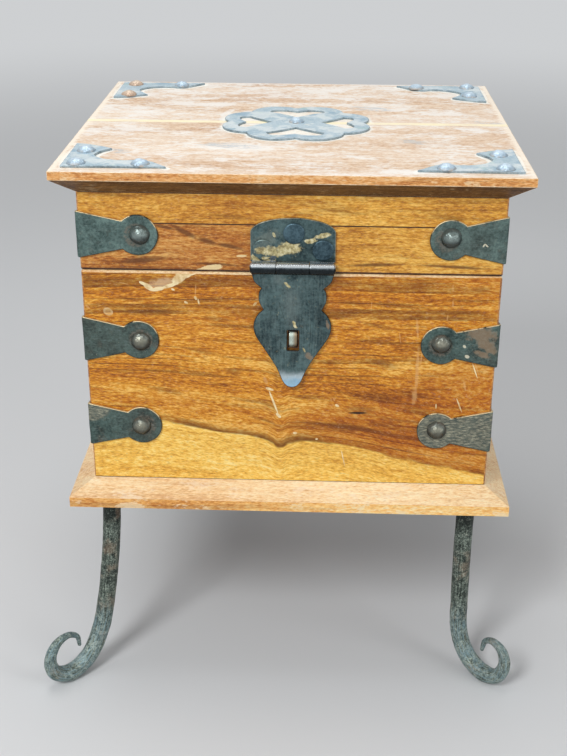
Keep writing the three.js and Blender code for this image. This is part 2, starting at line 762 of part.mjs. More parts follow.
// Legs stand under the corners and scroll outward along the diagonals. The pair on one diagonal
// has the wide scroll and the pair on the other the tight one.
function addLegs() {
  const legY = halfDepth - legSetback;
  const plate = legPlate();
  for (const [depthName, sideY] of [['front', -1], ['rear', 1]]) {
    for (const [sideName, sideX] of [['left', -1], ['right', 1]]) {
      const style = sideX * sideY > 0 ? wideLeg : tightLeg;
      const legX = halfWidth - style.inset;
      const outward = new THREE.Vector3(sideX, sideY, 0).normalize();
      const across = new THREE.Vector3(sideY, -sideX, 0).normalize();
      const foot = [sideX * legX, sideY * legY, 0];
      const rod = place(scrollRod(style), outward.toArray(), [0, 0, 1], across.toArray(), foot);
      const reach = legRadius + style.reach + overrun;
      const floor = box(-reach, reach, -reach, reach, -overrun, 0).translate(...foot);
      addPiece(`leg_${depthName}_${sideName}`, cut(rod, floor), forgedIron);
      const top = [foot[0], foot[1], baseBottom];
      const seat = place(plate, [1, 0, 0], [0, 1, 0], [0, 0, 1], top);
      addPiece(`leg_plate_${depthName}_${sideName}`, seat, forgedIron);
    }
  }
}

addBoards();
addBodyFront();
addWalls('body', baseTop, splitHeight, ['back', 'left', 'right']);
addWalls('lid_lower_strip', splitHeight, stripSeam);
addWalls('lid_upper_strip', stripSeam, lidWallTop);
addStraps();
addBrackets();
addMedallion();
addHaspPlate();
addHaspLeaf();
addStaple();
addHinges();
addLegs();

export default chest;
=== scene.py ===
import json
import math
from functools import partial, reduce

import bmesh
import bpy
from mathutils import Matrix, Vector, noise

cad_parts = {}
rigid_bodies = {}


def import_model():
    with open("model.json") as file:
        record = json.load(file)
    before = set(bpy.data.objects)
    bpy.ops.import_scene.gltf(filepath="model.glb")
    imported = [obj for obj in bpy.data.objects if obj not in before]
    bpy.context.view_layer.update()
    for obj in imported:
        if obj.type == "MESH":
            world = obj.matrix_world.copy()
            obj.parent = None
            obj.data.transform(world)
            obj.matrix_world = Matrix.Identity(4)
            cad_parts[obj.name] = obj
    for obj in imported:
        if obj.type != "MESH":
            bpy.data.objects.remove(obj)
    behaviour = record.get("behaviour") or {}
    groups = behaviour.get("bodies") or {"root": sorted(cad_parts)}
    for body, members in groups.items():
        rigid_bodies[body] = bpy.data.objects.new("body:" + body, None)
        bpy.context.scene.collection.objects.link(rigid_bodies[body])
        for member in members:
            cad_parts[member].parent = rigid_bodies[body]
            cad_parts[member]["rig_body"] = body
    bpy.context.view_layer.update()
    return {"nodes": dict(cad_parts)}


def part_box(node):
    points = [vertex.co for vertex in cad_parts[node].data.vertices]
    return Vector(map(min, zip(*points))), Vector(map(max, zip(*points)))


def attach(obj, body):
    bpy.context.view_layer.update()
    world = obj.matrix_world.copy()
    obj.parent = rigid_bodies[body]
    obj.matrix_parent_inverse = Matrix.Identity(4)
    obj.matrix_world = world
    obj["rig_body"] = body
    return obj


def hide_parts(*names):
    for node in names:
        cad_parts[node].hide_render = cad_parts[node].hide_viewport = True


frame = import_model()
mm = 0.001
noise.seed_set(5)  # so that the uneven outlines come out the same each time
print("frame loaded:", len(frame["nodes"]), "nodes")

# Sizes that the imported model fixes, in millimetres
def boxOf(node):
    low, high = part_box(node)
    return low / mm, high / mm


def middleOf(node):
    return [(a + b) / 2 for a, b in zip(*boxOf(node))]


def sidesOf(node):  # 1 or -1 for the side of the chest that it is on: to the right, to the rear
    return [1 if value > 0 else -1 for value in middleOf(node)[:2]]


frontLow, frontHigh = boxOf("body_front")
lidBoardLow, lidBoardHigh = boxOf("lid_board_front")
halfWidth = frontHigh.x
halfDepth = -frontLow.y
splitHeight = frontHigh.z
lidTop = lidBoardHigh.z
lidFront = -lidBoardLow.y
baseFront = -boxOf("base_board_front")[0].y
haspX, haspPinY, pinHeight = middleOf("hasp_pin")
haspFace = -boxOf("hasp_rivet_top")[1].y
cornerNames = [f"{depth}_{side}" for depth in ("front", "rear") for side in ("left", "right")]

# The photograph's viewpoint, found from the chest's own edges
photo = {
    "place": (18.3, -803.3, 545.2),
    "pitch": -24.94,
    "yaw": 1.86,
    "roll": 0.34,
    "focalPixels": 1204.3,
    "size": (567, 756),
    "sensor": 36,
}
viewPlace = Vector(photo["place"])
viewTurn = (
    Matrix.Rotation(math.radians(photo["yaw"]), 3, "Z")
    @ Matrix.Rotation(math.radians(90 + photo["pitch"]), 3, "X")
    @ Matrix.Rotation(math.radians(photo["roll"]), 3, "Z")
)


def photoPoint(pixel, axis, level):  # where the sight line of a pixel meets a plane across an axis
    across = (pixel[0] - photo["size"][0] / 2) / photo["focalPixels"]
    down = (pixel[1] - photo["size"][1] / 2) / photo["focalPixels"]
    ray = viewTurn @ Vector((across, -down, -1))
    return viewPlace + ray * ((level - viewPlace[axis]) / ray[axis])


# Shader nodes, which go into the tree that was begun last
begun = {}


def colour(text):
    channels = [int(text[i:i + 2], 16) / 255 for i in (1, 3, 5)]
    return (*[c / 12.92 if c <= 0.04045 else ((c + 0.055) / 1.055) ** 2.4 for c in channels], 1)


def feed(node, inputs):  # links a socket, sets any other value
    for key, value in inputs.items():
        if isinstance(value, bpy.types.NodeSocket):
            begun["tree"].links.new(value, node.inputs[key])
        else:
            node.inputs[key].default_value = value


def addNode(kind, inputs=None, **settings):
    made = begun["tree"].nodes.new("ShaderNode" + kind)
    for key, value in settings.items():
        setattr(made, key, value)
    feed(made, inputs or {})
    return made


def calc(operation, *values, clamp=False):
    return addNode("Math", dict(enumerate(values)), operation=operation, use_clamp=clamp).outputs[0]


times = partial(calc, "MULTIPLY")
timesPlus = partial(calc, "MULTIPLY_ADD")
plus = partial(calc, "ADD")
minus = partial(calc, "SUBTRACT")
larger = partial(calc, "MAXIMUM")
smaller = partial(calc, "MINIMUM")
unsigned = partial(calc, "ABSOLUTE")


def vectorCalc(operation, *values, output=0):
    return addNode("VectorMath", dict(enumerate(values)), operation=operation).outputs[output]


def part(vector, axis):  # the part along one axis: 0 is X, 1 is Y, 2 is Z
    return addNode("SeparateXYZ", {0: vector}).outputs[axis]


def flatMap():
    return addNode("UVMap", uv_map="flat").outputs[0]


def fade(value, low, high, toLow=0.0, toHigh=1.0):
    inputs = {"Value": value, "From Min": low, "From Max": high, "To Min": toLow, "To Max": toHigh}
    return addNode("MapRange", inputs, interpolation_type="SMOOTHSTEP").outputs[0]


def blend(share, first, second):
    return addNode("Mix", {0: share, 6: first, 7: second}, data_type="RGBA").outputs[2]


def tint(base, mask, share, shade):
    return blend(times(mask, share), base, colour(shade))


def grain(vector, size, detail=3.0, rough=0.55):  # noise of one scale, or of one scale each way
    if isinstance(size, tuple):
        vector, size = vectorCalc("MULTIPLY", vector, size), 1.0
    inputs = {"Vector": vector, "Scale": size, "Detail": detail, "Roughness": rough}
    return addNode("TexNoise", inputs).outputs["Fac"]


def blots(vector, size, detail, rough, *limits):  # such noise, faded in between two of its levels
    return fade(grain(vector, size, detail, rough), *limits)


def lineNoise(value, scale, detail):
    inputs = {"W": times(value, scale), "Scale": 1.0, "Detail": detail}
    return addNode("TexNoise", inputs, noise_dimensions="1D").outputs["Fac"]


def ramp(value, stops):
    made = addNode("ValToRGB", {"Fac": value})
    elements = made.color_ramp.elements
    while len(elements) < len(stops):
        elements.new(0.5)
    for element, (place, shade) in zip(elements, stops):
        element.position = place
        element.color = colour(shade)
    return made.outputs["Color"]


def oval(vector, middle, turn, size):  # 1 in its middle, 0 at its rim and beyond
    inputs = {"Vector": vector, "Location": middle, "Rotation": turn, "Scale": size}
    local = addNode("Mapping", inputs, vector_type="TEXTURE").outputs[0]
    return addNode("TexGradient", {"Vector": local}, gradient_type="SPHERICAL").outputs["Fac"]


# Marks: strokes between two pixels of the photograph, each with its width in millimetres
markDepth = 3
markRim = 0.12


def strokes(vector, marks, axis, level, depth=markDepth):  # on the plane across that axis
    found = []
    for startX, startY, endX, endY, width in marks:
        first = photoPoint((startX, startY), axis, level) * mm
        second = photoPoint((endX, endY), axis, level) * mm
        along = second - first
        half = along.length / 2 + width * mm / 2
        if axis == 1:
            turn = (0, -math.atan2(along.z, along.x), 0)
            size = (half, depth * mm, width * mm / 2)
        else:
            turn = (0, 0, math.atan2(along.y, along.x))
            size = (half, width * mm / 2, depth * mm)
        found.append(oval(vector, (first + second) / 2, turn, size))
    return reduce(larger, found)


def markMask(place, layer, level):  # marks with torn and soft rims
    field = strokes(place, layer["marks"], 1, level, layer.get("depth", markDepth))
    torn = minus(grain(place, layer["scale"], 3.0, 0.6), 0.5)
    return fade(timesPlus(torn, layer["torn"], field), markRim, markRim + layer["soft"])


def addMarks(base, place, layer, level):
    mask = markMask(place, layer, level)
    return tint(base, mask, layer["share"], layer["shade"]), mask


def newMaterial(name):
    material = bpy.data.materials.new(name)
    material.use_nodes = True
    begun["tree"] = material.node_tree
    begun["tree"].nodes.clear()
    begun["shader"] = addNode("BsdfPrincipled")
    addNode("OutputMaterial", {"Surface": begun["shader"].outputs[0]})
    return material, addNode("TexCoord").outputs["Object"]


def setShader(base, rough, height, metal=0.0, lift=0.2, strength=0.5, gloss=0.5):
    bump = addNode("Bump", {"Height": height, "Strength": strength, "Distance": lift * mm})
    feed(begun["shader"], {
        "Base Color": base, "Roughness": rough, "Metallic": metal, "Specular IOR Level": gloss,
        "Normal": bump.outputs[0],
    })


# Lines in millimetres
def arc(middle, radius, start, end, steps, radiusY=None):
    tall = radius if radiusY is None else radiusY
    angles = [math.radians(start + (end - start) * i / steps) for i in range(steps + 1)]
    return [Vector((middle[0] + radius * math.cos(a), middle[1] + tall * math.sin(a))) for a in angles]


def smoothLine(points, steps, power=0.0):  # a curve through all points, calmer with a power of 0.5
    points = [Vector(p) for p in points]
    points = [points[0] * 2 - points[1], *points, points[-1] * 2 - points[-2]]
    line = [points[1]]
    for before, start, end, after in zip(points, points[1:], points[2:], points[3:]):
        gaps = [(b - a).length ** power for a, b in ((before, start), (start, end), (end, after))]
        leave = (start - before) / gaps[0] - (end - before) / (gaps[0] + gaps[1]) + (end - start) / gaps[1]
        reach = (end - start) / gaps[1] - (after - start) / (gaps[1] + gaps[2]) + (after - end) / gaps[2]
        leave *= gaps[1]
        reach *= gaps[1]
        for i in range(1, steps + 1):
            t = i / steps
            curved = (end - start) * 3 - leave * 2 - reach
            turned = (start - end) * 2 + leave + reach
            line.append(start + leave * t + curved * t * t + turned * t ** 3)
    return line


# Outlines of the lid's ironwork, which the wax on the lid follows too
bracket = {
    "long": 61.8, "short": 53, "sheet": 1.4, "rim": 0.35, "wobble": 0.25, "warp": 0.2,
    "nailRadius": 5.6, "nailRise": 3.1,
    "nails": {  # these and the points below are shares of the long and the short side
        "lid_bracket_front_left": [(0.135, 0.108), (0.745, 0.108), (0.148, 0.66)],
        "lid_bracket_front_right": [(0.17, 0.117), (0.725, 0.108), (0.175, 0.7)],
        "lid_bracket_rear_left": [(0.165, 0.17), (0.73, 0.2), (0.165, 0.85)],
        "lid_bracket_rear_right": [(0.155, 0.13), (0.77, 0.19), (0.172, 0.71)],
    },
    "arm": [(1, 0.02), (0.93, 0.1), (0.83, 0.23), (0.71, 0.3), (0.61, 0.26)],
    "bend": [(0.5, 0.262), (0.382, 0.31), (0.29, 0.4), (0.25, 0.5)],
    "spur": [(0.25, 0.5), (0.29, 0.65), (0.38, 0.8)],
    "end": [(0.38, 0.8), (0.25, 0.89), (0.13, 0.96), (0, 1)],
}


def bracketLine():  # from the long arm's tip to the short arm's tip, as distances in from the corner
    line = []
    for name in ("arm", "bend", "spur", "end"):
        points = [(x * bracket["long"], y * bracket["short"]) for x, y in bracket[name]]
        line += smoothLine(points, 7)
    return [line[0]] + [p for p, q in zip(line[1:], line) if (p - q).length > 0.05]


medallion = {
    "half": (48.5, 47), "sheet": 1.4, "rim": 0.35, "seed": 4.4, "warp": 0.2,
    "sideLobe": (18, 11),  # radius and spread
    "endLobe": (19, 12.5),
    "sideHeart": (16.5, 33.5, 40, 16),  # tip, notch, shoulder and half width
    "endHeart": (14.5, 33, 38.5, 18.5),
    "nailRadius": 4.9, "nailRise": 3.4, "nailSeed": 8.8,
}


def lobes():
    sideRadius, sideSpread = medallion["sideLobe"]
    endRadius, endSpread = medallion["endLobe"]
    x = medallion["half"][0] - sideRadius
    y = medallion["half"][1] - endRadius
    half = [(x, -sideSpread, sideRadius), (x, sideSpread, sideRadius), (endSpread, y, endRadius),
            (-endSpread, y, endRadius)]
    return half + [(-x, -y, radius) for x, y, radius in half]


# Sheesham: grain along X, with warped growth bands, fine streaks and pores
woodGrain = {
    "shift": (0.37, 0.11, 0.23),
    "warps": [((3.2, 7, 7), 15.0), ((24, 60, 60), 1.4)],
    "ringTilt": 0.55,
    "bandsPerMetre": 60,
    "linesPerMetre": 110,
    "lineWidth": 0.05,
    "streaks": ((62, 420, 420), 5.0, 0.62),  # a noise's scale each way, detail and roughness
    "flecks": ((300, 1050, 1050), 3.0, 0.6),
    "cloud": ((8, 24, 24), 4.0, 0.55),
    "pores": ((380, 1900, 1900), 1.0, 0.5, 0.58, 0.68),  # and the levels between which it fades in
    # pale flecks: partly dust, partly a painted sheen
    "wax": ((520, 1400, 1400), 2.0, 0.6, 0.55, 0.72),
    "figure": ((17, 260, 260), 2.0, 0.5, 0.54, 0.7),
    "hue": ((5, 16, 16), 2.0, 0.5, 0.44, 0.62),
    "mix": {"bands": 0.15, "streaks": 0.24, "flecks": 0.38, "cloud": 0.23},
    "span": (0.36, 0.64),
    "lineCloud": (0.58, 0.4),
    "hueShare": 0.45,
    "figureShare": 0.65,
    "poreShare": 0.26,
    "blush": "#9c4310",
    # share and shade of the pale flecks of dust and painted sheen
    "waxed": (0.15, "#f3ddb6"),
    "rough": (0.3, 0.7, 0.56, 0.42),
    "gloss": 0.32,
}


def woodField(vector, along="X"):
    shift = addNode("Attribute", attribute_name="boardShift").outputs["Fac"]
    offset = addNode("VectorMath", {0: woodGrain["shift"], "Scale": shift}, operation="SCALE").outputs[0]
    start = vectorCalc("ADD", vector, offset)
    if along == "Y":
        start = addNode("CombineXYZ", {0: part(start, 1), 1: part(start, 0), 2: part(start, 2)}).outputs[0]
    warped = start
    for scale, reach in woodGrain["warps"]:
        scaled = vectorCalc("MULTIPLY", start, scale)
        wander = addNode("TexNoise", {"Vector": scaled, "Scale": 1.0, "Detail": 1.0}).outputs["Color"]
        centred = vectorCalc("SUBTRACT", wander, (0.5, 0.5, 0.5))
        push = vectorCalc("MULTIPLY", centred, (0, 2 * reach * mm, 2 * reach * mm))
        warped = vectorCalc("ADD", warped, push)
    ring = timesPlus(part(warped, 1), woodGrain["ringTilt"], part(warped, 2))
    line = unsigned(minus(lineNoise(ring, woodGrain["linesPerMetre"], 1.0), 0.5))
    field = {name: grain(warped, *woodGrain[name]) for name in ("streaks", "flecks", "cloud")}
    field.update({name: blots(warped, *woodGrain[name]) for name in ("pores", "wax", "figure", "hue")})
    field["bands"] = lineNoise(ring, woodGrain["bandsPerMetre"], 3.0)
    field["lines"] = fade(line, 0.0, woodGrain["lineWidth"], 1.0, 0.0)
    return field


def woodColour(field, shades, lineShade, lineShare=0.4, secondStop=0.35):
    mixed = 0.0
    for name, share in woodGrain["mix"].items():
        mixed = timesPlus(field[name], share, mixed)
    stops = list(zip((0.0, secondStop, 0.65, 1.0), shades))
    base = ramp(fade(mixed, *woodGrain["span"]), stops)
    cloudy = fade(field["cloud"], *woodGrain["lineCloud"], 0.0, lineShare)
    base = blend(times(field["lines"], cloudy), base, colour(lineShade))
    base = tint(base, field["hue"], lineShare * woodGrain["hueShare"], woodGrain["blush"])
    base = tint(base, field["figure"], lineShare * woodGrain["figureShare"], lineShade)
    base = tint(base, field["pores"], woodGrain["poreShare"], lineShade)
    # pale flecks over the grain: partly dust, partly a painted sheen
    return tint(base, field["wax"], *woodGrain["waxed"])


def woodHeight(field):
    height = timesPlus(field["pores"], -0.6, times(field["flecks"], 0.7))
    return timesPlus(field["streaks"], 0.5, height)


plainWoods = {
    "bodyWallWood": {"along": "X", "shades": ("#7a400f", "#b67022", "#cf9136", "#edb75e"), "line": "#4f260a"},
    "endWallWood": {"along": "Y", "shades": ("#753d0e", "#b06b20", "#c98b34", "#e7b15b"), "line": "#4c240a"},
    "upperStripWood": {
        "along": "X", "shades": ("#955a1c", "#c98a30", "#dfa644", "#f6ca6c"), "line": "#5d340e",
        # darker marks: dark figure, and painted shade along the top under the lid board's overhang
        "smoke": {
            "torn": 0.9, "scale": (60, 60, 300), "soft": 0.7, "depth": 8, "share": 0.4, "shade": "#5d340e",
            "marks": [
                (262, 199, 300, 193, 5), (84, 194, 150, 197, 4), (300, 206, 380, 216, 4),
                (330, 194, 420, 198, 4), (200, 214, 262, 219, 4), (420, 214, 470, 220, 5),
            ],
        },
    },
}


def plainWood(name, look):
    material, place = newMaterial(name)
    field = woodField(place, look["along"])
    base = woodColour(field, look["shades"], look["line"])
    if "smoke" in look:
        base = addMarks(base, place, look["smoke"], -halfDepth)[0]
    rough = fade(field["streaks"], *woodGrain["rough"])
    setShader(base, rough, woodHeight(field), gloss=woodGrain["gloss"])
    return material


# The front wall: reddish heartwood above, pale sapwood below a wavy dark boundary with a notch
frontFigure = {
    "boundary": [
        (88, 412), (160, 420), (218, 431), (262, 438), (273, 443), (280, 447), (288, 443), (304, 441),
        (356, 447), (400, 459), (450, 468), (490, 476),
    ],
    "boundaryRange": (155, 205),
    "followAbove": (0.0, 0.11, 0.75, 0.1),  # how the grain follows the boundary less, further off in metres
    "followBelow": (-0.07, 0.0, 0.45, 1.0),
    "wobble": ((60, 60, 160), 3.0),
    "wobbleReach": 0.004,
    "change": (-0.0008, 0.0012),
    "rimAbove": (0.0055, 0.0002),
    "rimBelow": (-0.0012, 0.0003),
    "rimStrength": ((22, 22, 60), 2.0, 0.55, 0.3, 0.65, 0.25, 0.85),
    "upper": ("#84430b", "#c27618", "#db982f", "#f6c86c"),
    "upperLines": 0.72,
    "lower": ("#c78d30", "#edb64c", "#fbd067", "#fee69c"),
    "lowerLines": 0.1,
    "dark": "#542809",
    "rim": "#63370a",
    "rough": (0.2, 0.8, 0.54, 0.4),
}
frontMarks = {
    "smudge": {
        "torn": 0.9, "scale": (60, 60, 240), "soft": 0.7, "depth": 8, "share": 0.42, "shade": "#5d3316",
        "marks": [
            (226, 371, 240, 374, 8), (90, 277, 84, 276, 7), (345, 408, 376, 411, 9),
            (470, 290, 492, 289, 6), (140, 385, 190, 395, 6), (366, 360, 400, 368, 8),
            (330, 300, 372, 306, 5), (352, 320, 396, 330, 5), (176, 346, 226, 356, 5),
            (110, 296, 150, 302, 4), (190, 316, 240, 322, 5), (300, 424, 372, 434, 5),
        ],
    },
    "knot": {
        "torn": 0.2, "scale": 500, "soft": 0.3, "share": 1.0, "shade": "#20130c", "deep": 2.0,
        "marks": [(347, 413, 369, 413, 1.9)],
    },
    "scratch": {
        "torn": 1.1, "scale": 420, "soft": 0.5, "share": 0.45, "shade": "#dcae74",
        "marks": [
            (196, 281, 195, 300, 1.1), (419, 340, 415, 404, 3), (424, 330, 420, 372, 1.6),
            (417, 318, 418, 340, 2.2), (453, 284, 453, 294, 1), (453, 300, 453, 308, 1.4),
            (448, 314, 447, 321, 1.2), (463, 379, 466, 392, 2), (264, 377, 267, 384, 3),
            (255, 300, 262, 298, 1.5), (86, 305, 90, 309, 2), (118, 282, 131, 285, 1),
            (399, 330, 401, 345, 1), (372, 300, 371, 312, 0.8), (230, 330, 229, 336, 1),
            (333, 397, 335, 402, 1.2), (415, 388, 414, 404, 5), (474, 360, 480, 379, 1),
        ],
    },
    "film": {
        "torn": 1.2, "scale": 300, "soft": 0.5, "share": 0.42, "shade": "#ecd0aa",
        "marks": [(150, 285, 172, 280, 9)],
    },
    "paint": {
        "torn": 0.5, "scale": 380, "soft": 0.2, "share": 0.88, "proud": 1.2, "dull": 0.15,
        "grain": (260, 3.0), "shades": [(0.35, "#d4b47e"), (0.6, "#f4e4b6")],
        "marks": [
            (140, 282, 146, 285, 2.4), (144, 284, 153, 290, 4), (151, 290, 164, 288, 3.4),
            (162, 288, 178, 283, 3), (174, 281, 184, 276, 6.5), (178, 275, 189, 275, 5),
            (186, 275, 196, 273, 2.4), (172, 289, 174, 290, 1.8), (185, 302, 187, 303, 1.8),
            (254, 305, 256, 303, 2), (266, 388, 273, 390, 2.2), (268, 388, 279, 416, 1.6),
            (277, 414, 280, 417, 2.6), (294, 433, 296, 433, 2.2), (316, 439, 317, 439, 1.6),
            (336, 405, 338, 406, 2), (195, 297, 196, 299, 1.8), (198, 299, 199, 304, 1.2),
            (341, 449, 345, 467, 0.9), (472, 362, 478, 380, 1), (456, 397, 462, 413, 1.1),
            (436, 404, 436, 409, 1.1),
        ],
    },
    "ring": {
        "share": 0.6, "outer": (0.02, 0.2), "inner": (0.6, 0.4, 0.4, 1.0),
        "marks": [(107, 311, 109, 312, 5.6)],
    },
    # a painted shadow on the wall behind the hasp's slot
    "slotShadow": {"share": 0.75, "shade": "#2a180c", "marks": [(293, 333, 293, 348, 14)]},
}


def heightOnCurve(across):  # the boundary's height at each place across the wall, in metres
    low, high = frontFigure["boundaryRange"]
    share = fade(across, -halfWidth * mm, halfWidth * mm)
    share.node.interpolation_type = "LINEAR"
    made = addNode("FloatCurve", {"Value": share})
    curve = made.mapping.curves[0]
    places = [photoPoint(pixel, 1, -halfDepth) for pixel in frontFigure["boundary"]]
    shares = [((p.x + halfWidth) / (2 * halfWidth), (p.z - low) / (high - low)) for p in places]
    shares = [(min(max(x, 0), 1), z) for x, z in shares]
    curve.points[0].location = shares[0]
    curve.points[1].location = shares[-1]
    for x, z in shares[1:-1]:
        curve.points.new(x, z)
    made.mapping.update()
    return timesPlus(made.outputs[0], (high - low) * mm, low * mm)


def frontWallWood(name):
    material, place = newMaterial(name)
    look = frontFigure
    across, inward, upright = [part(place, axis) for axis in range(3)]
    edge = heightOnCurve(across)
    above = minus(upright, edge)
    follow = times(fade(above, *look["followAbove"]), fade(above, *look["followBelow"]))
    middle = sum(look["boundaryRange"]) / 2 * mm
    lowered = minus(upright, times(minus(edge, middle), follow))
    field = woodField(addNode("CombineXYZ", {0: across, 1: inward, 2: lowered}).outputs[0])
    upper = woodColour(field, look["upper"], look["dark"], look["upperLines"])
    lower = woodColour(field, look["lower"], look["rim"], look["lowerLines"])
    ragEdge = timesPlus(minus(grain(place, *look["wobble"]), 0.5), look["wobbleReach"], above)
    base = blend(fade(ragEdge, *look["change"]), lower, upper)
    rim = times(fade(ragEdge, *look["rimAbove"]), fade(ragEdge, *look["rimBelow"]))
    base = blend(times(rim, blots(place, *look["rimStrength"])), base, colour(look["rim"]))
    masks = {}
    for mark in ("smudge", "knot", "scratch", "film"):
        base, masks[mark] = addMarks(base, place, frontMarks[mark], -halfDepth)
    ring, shade = [strokes(place, frontMarks[mark]["marks"], 1, -halfDepth) for mark in ("ring", "slotShadow")]
    ring = times(*[fade(ring, *frontMarks["ring"][rim]) for rim in ("outer", "inner")])
    slot, layer = frontMarks["slotShadow"], frontMarks["paint"]
    # the slot's painted shadow on the wall
    base = tint(base, fade(shade, 0.0, 0.4), slot["share"], slot["shade"])
    paint = larger(markMask(place, layer, -halfDepth), times(ring, frontMarks["ring"]["share"]))
    cream = ramp(grain(place, *layer["grain"]), layer["shades"])
    base = blend(times(paint, layer["share"]), base, cream)
    height = timesPlus(paint, layer["proud"], woodHeight(field))
    height = timesPlus(masks["knot"], -frontMarks["knot"]["deep"], height)
    rough = timesPlus(paint, layer["dull"], fade(field["streaks"], *look["rough"]))
    setShader(base, rough, height, gloss=woodGrain["gloss"])
    return material


# Lower strip of the lid: reddish with a dark figure on the left, golden on the right
lowerStrip = {
    "left": ("#743a14", "#ad6828", "#c6873e", "#e2b167"),
    "right": ("#965d1c", "#d19436", "#e6b04c", "#fad274"),
    "rightLines": 0.25,
    "line": "#4c250e",
    "wander": 0.12,
    "change": (0.02, 0.1),
    "rough": (0.2, 0.8, 0.56, 0.42),
    "layers": [
        {
            "torn": 0.6, "scale": (70, 70, 300), "soft": 0.6, "share": 0.75, "shade": "#55301a",
            "marks": [
                (170, 225, 200, 240, 5), (196, 238, 218, 244, 5.5), (212, 243, 248, 250, 4),
                (150, 224, 178, 230, 3), (112, 262, 170, 258, 6), (180, 262, 248, 266, 3),
                (330, 266, 416, 264, 3.4), (400, 264, 506, 270, 3.2),
            ],
        },
        {
            "torn": 0.5, "scale": 380, "soft": 0.2, "share": 0.85, "shade": "#e8d2a0",
            "marks": [
                (237, 256, 246, 256, 2), (195, 271, 204, 269, 2.6), (202, 269, 221, 266.5, 5),
            ],
        },
    ],
}


def lowerStripWood(name):
    material, place = newMaterial(name)
    look = lowerStrip
    field = woodField(place)
    left = woodColour(field, look["left"], look["line"])
    right = woodColour(field, look["right"], look["line"], look["rightLines"])
    wander = timesPlus(field["cloud"], look["wander"], part(place, 0))
    base = blend(fade(wander, *look["change"]), left, right)
    for layer in look["layers"]:
        base = addMarks(base, place, layer, -halfDepth)[0]
    setShader(base, fade(field["streaks"], *look["rough"]), woodHeight(field), gloss=woodGrain["gloss"])
    return material


# Boards of the lid and the base: bleached, with a pale haze rubbed into the grain; on the lid top the pale
# shades and haze are partly a painted glare
boardWoods = {  # a plane is an axis, a level across it and how deep the marks on it reach
    # the lid top: its pale shades and haze are partly bleaching and partly a painted glare
    "lidTopWood": {
        "shades": ("#b98b66", "#dfbf9e", "#edd8c1", "#f9eee0"), "line": "#ad7c58", "lines": 0.1,
        "haze": "#f7f6f2", "hazeShare": 0.72, "hazeAt": (0.47, 0.66),
        "plane": (2, lidTop, 3),
        "patches": [
            (96, 130, 150, 128, 34), (118, 108, 142, 112, 40), (182, 103, 226, 105, 26),
            (376, 107, 402, 108, 30), (430, 112, 452, 113, 30), (384, 172, 422, 172, 14),
            (206, 146, 262, 148, 24), (466, 130, 482, 131, 18), (60, 158, 76, 162, 20),
            (226, 112, 222, 128, 8), (220, 118, 234, 108, 7), (366, 118, 372, 128, 8),
        ],
        "grey": [
            (204, 144, 256, 147, 16), (404, 141, 420, 143, 14), (66, 166, 110, 166, 10),
            (356, 108, 384, 110, 18), (474, 122, 500, 124, 10), (110, 150, 124, 152, 12),
        ],
        "margin": "#fcf0de",
        "seam": "#fff4d0", "seamWidth": (4.2, 2.2),
    },
    "baseWood": {
        "shades": ("#d6a674", "#f0cb98", "#f9dfb2", "#fdefcc"), "line": "#b07c50", "lines": 0.14,
        "haze": "#f6e6cf", "hazeShare": 0.5, "hazeAt": (0.54, 0.68),
        "plane": (1, -baseFront, 14),
        "patches": [(114, 497, 140, 501, 13), (90, 455, 94, 462, 6), (474, 484, 486, 486, 5)],
        "seam": "#9b6a48", "seamWidth": (1.6, 0.6),
    },
    "plinthEdgeWood": {
        "shades": ("#c47c34", "#f0b161", "#fbcd80", "#fee8b4"), "line": "#7a4720", "lines": 0.3,
        "haze": "#f3dfb8", "hazeShare": 0.6, "hazeAt": (0.55, 0.66),
        "plane": (1, -baseFront, 3), "patches": [
            (116, 505, 142, 507, 8), (74, 500, 82, 503, 5), (300, 511, 306, 512, 3),
            (398, 512, 404, 514, 4), (494, 514, 504, 515, 4), (196, 509, 199, 510, 2.5),
        ],
        "seam": "#7a4a2a", "seamWidth": (1.6, 0.6),
    },
    "lidEdgeWood": {
        "shades": ("#8e5122", "#c68345", "#dea25f", "#f2c995"), "line": "#56341a", "lines": 0.35,
        "haze": "#ecd3a8", "hazeShare": 0.6, "hazeAt": (0.56, 0.68),
        "plane": (1, -lidFront, 3), "patches": [
            (464, 183, 484, 185, 4), (490, 184, 520, 187, 4), (430, 182, 440, 183, 2),
            (118, 180, 126, 180, 2), (60, 178, 66, 179, 3), (300, 182, 312, 183, 2),
        ],
        "seam": "#7a4a2a", "seamWidth": (1.6, 0.6),
    },
    # the bevel under the lid board's edge: dark shades that paint the shade under the overhang
    "undersideWood": {
        "shades": ("#2f1b0b", "#503115", "#684421", "#8a6434"), "line": "#2c190c", "lines": 0.35,
        "haze": "#c9b48c", "hazeShare": 0.4, "hazeAt": (0.6, 0.72),
        "plane": (1, -lidFront, 8), "patches": [
            (425, 191, 429, 191, 2.4), (450, 191, 458, 192, 3), (466, 192, 472, 194, 3),
        ],
        "seam": "#3a2413", "seamWidth": (1.6, 0.6),
    },
}
boardGrain = {
    "secondStop": 0.3,
    "rub": ((38, 80, 80), 6.0, 0.7),
    "torn": ((240, 640, 640), 4.0, 0.65),
    "tornReach": 0.75,
    "patchReach": 0.15,
    "rearward": (0.03, 0.12),
    "rearGlareReach": 0.1,
    "marginTorn": 0.012,
    "marginWidth": (5, 2.5),
    "marginShare": 0.85,
    "greyShade": "#b9bec2",
    "greyShare": 0.75,
    "seamPatches": (30, 3.0, 0.55, 0.35, 0.6, 0.55, 1.0),
    "crack": (0.0009, 0.0002),
    "rough": (0.3, 0.7, 0.55, 0.42),
    "hazeDull": 0.14,
}
haloShape = {
    "reach": 3.2, "inside": 20, "stroke": 7, "deep": 3, "torn": (0.34, 0.52, 0.5, 1.0), "shade": "#fffdf4",
}


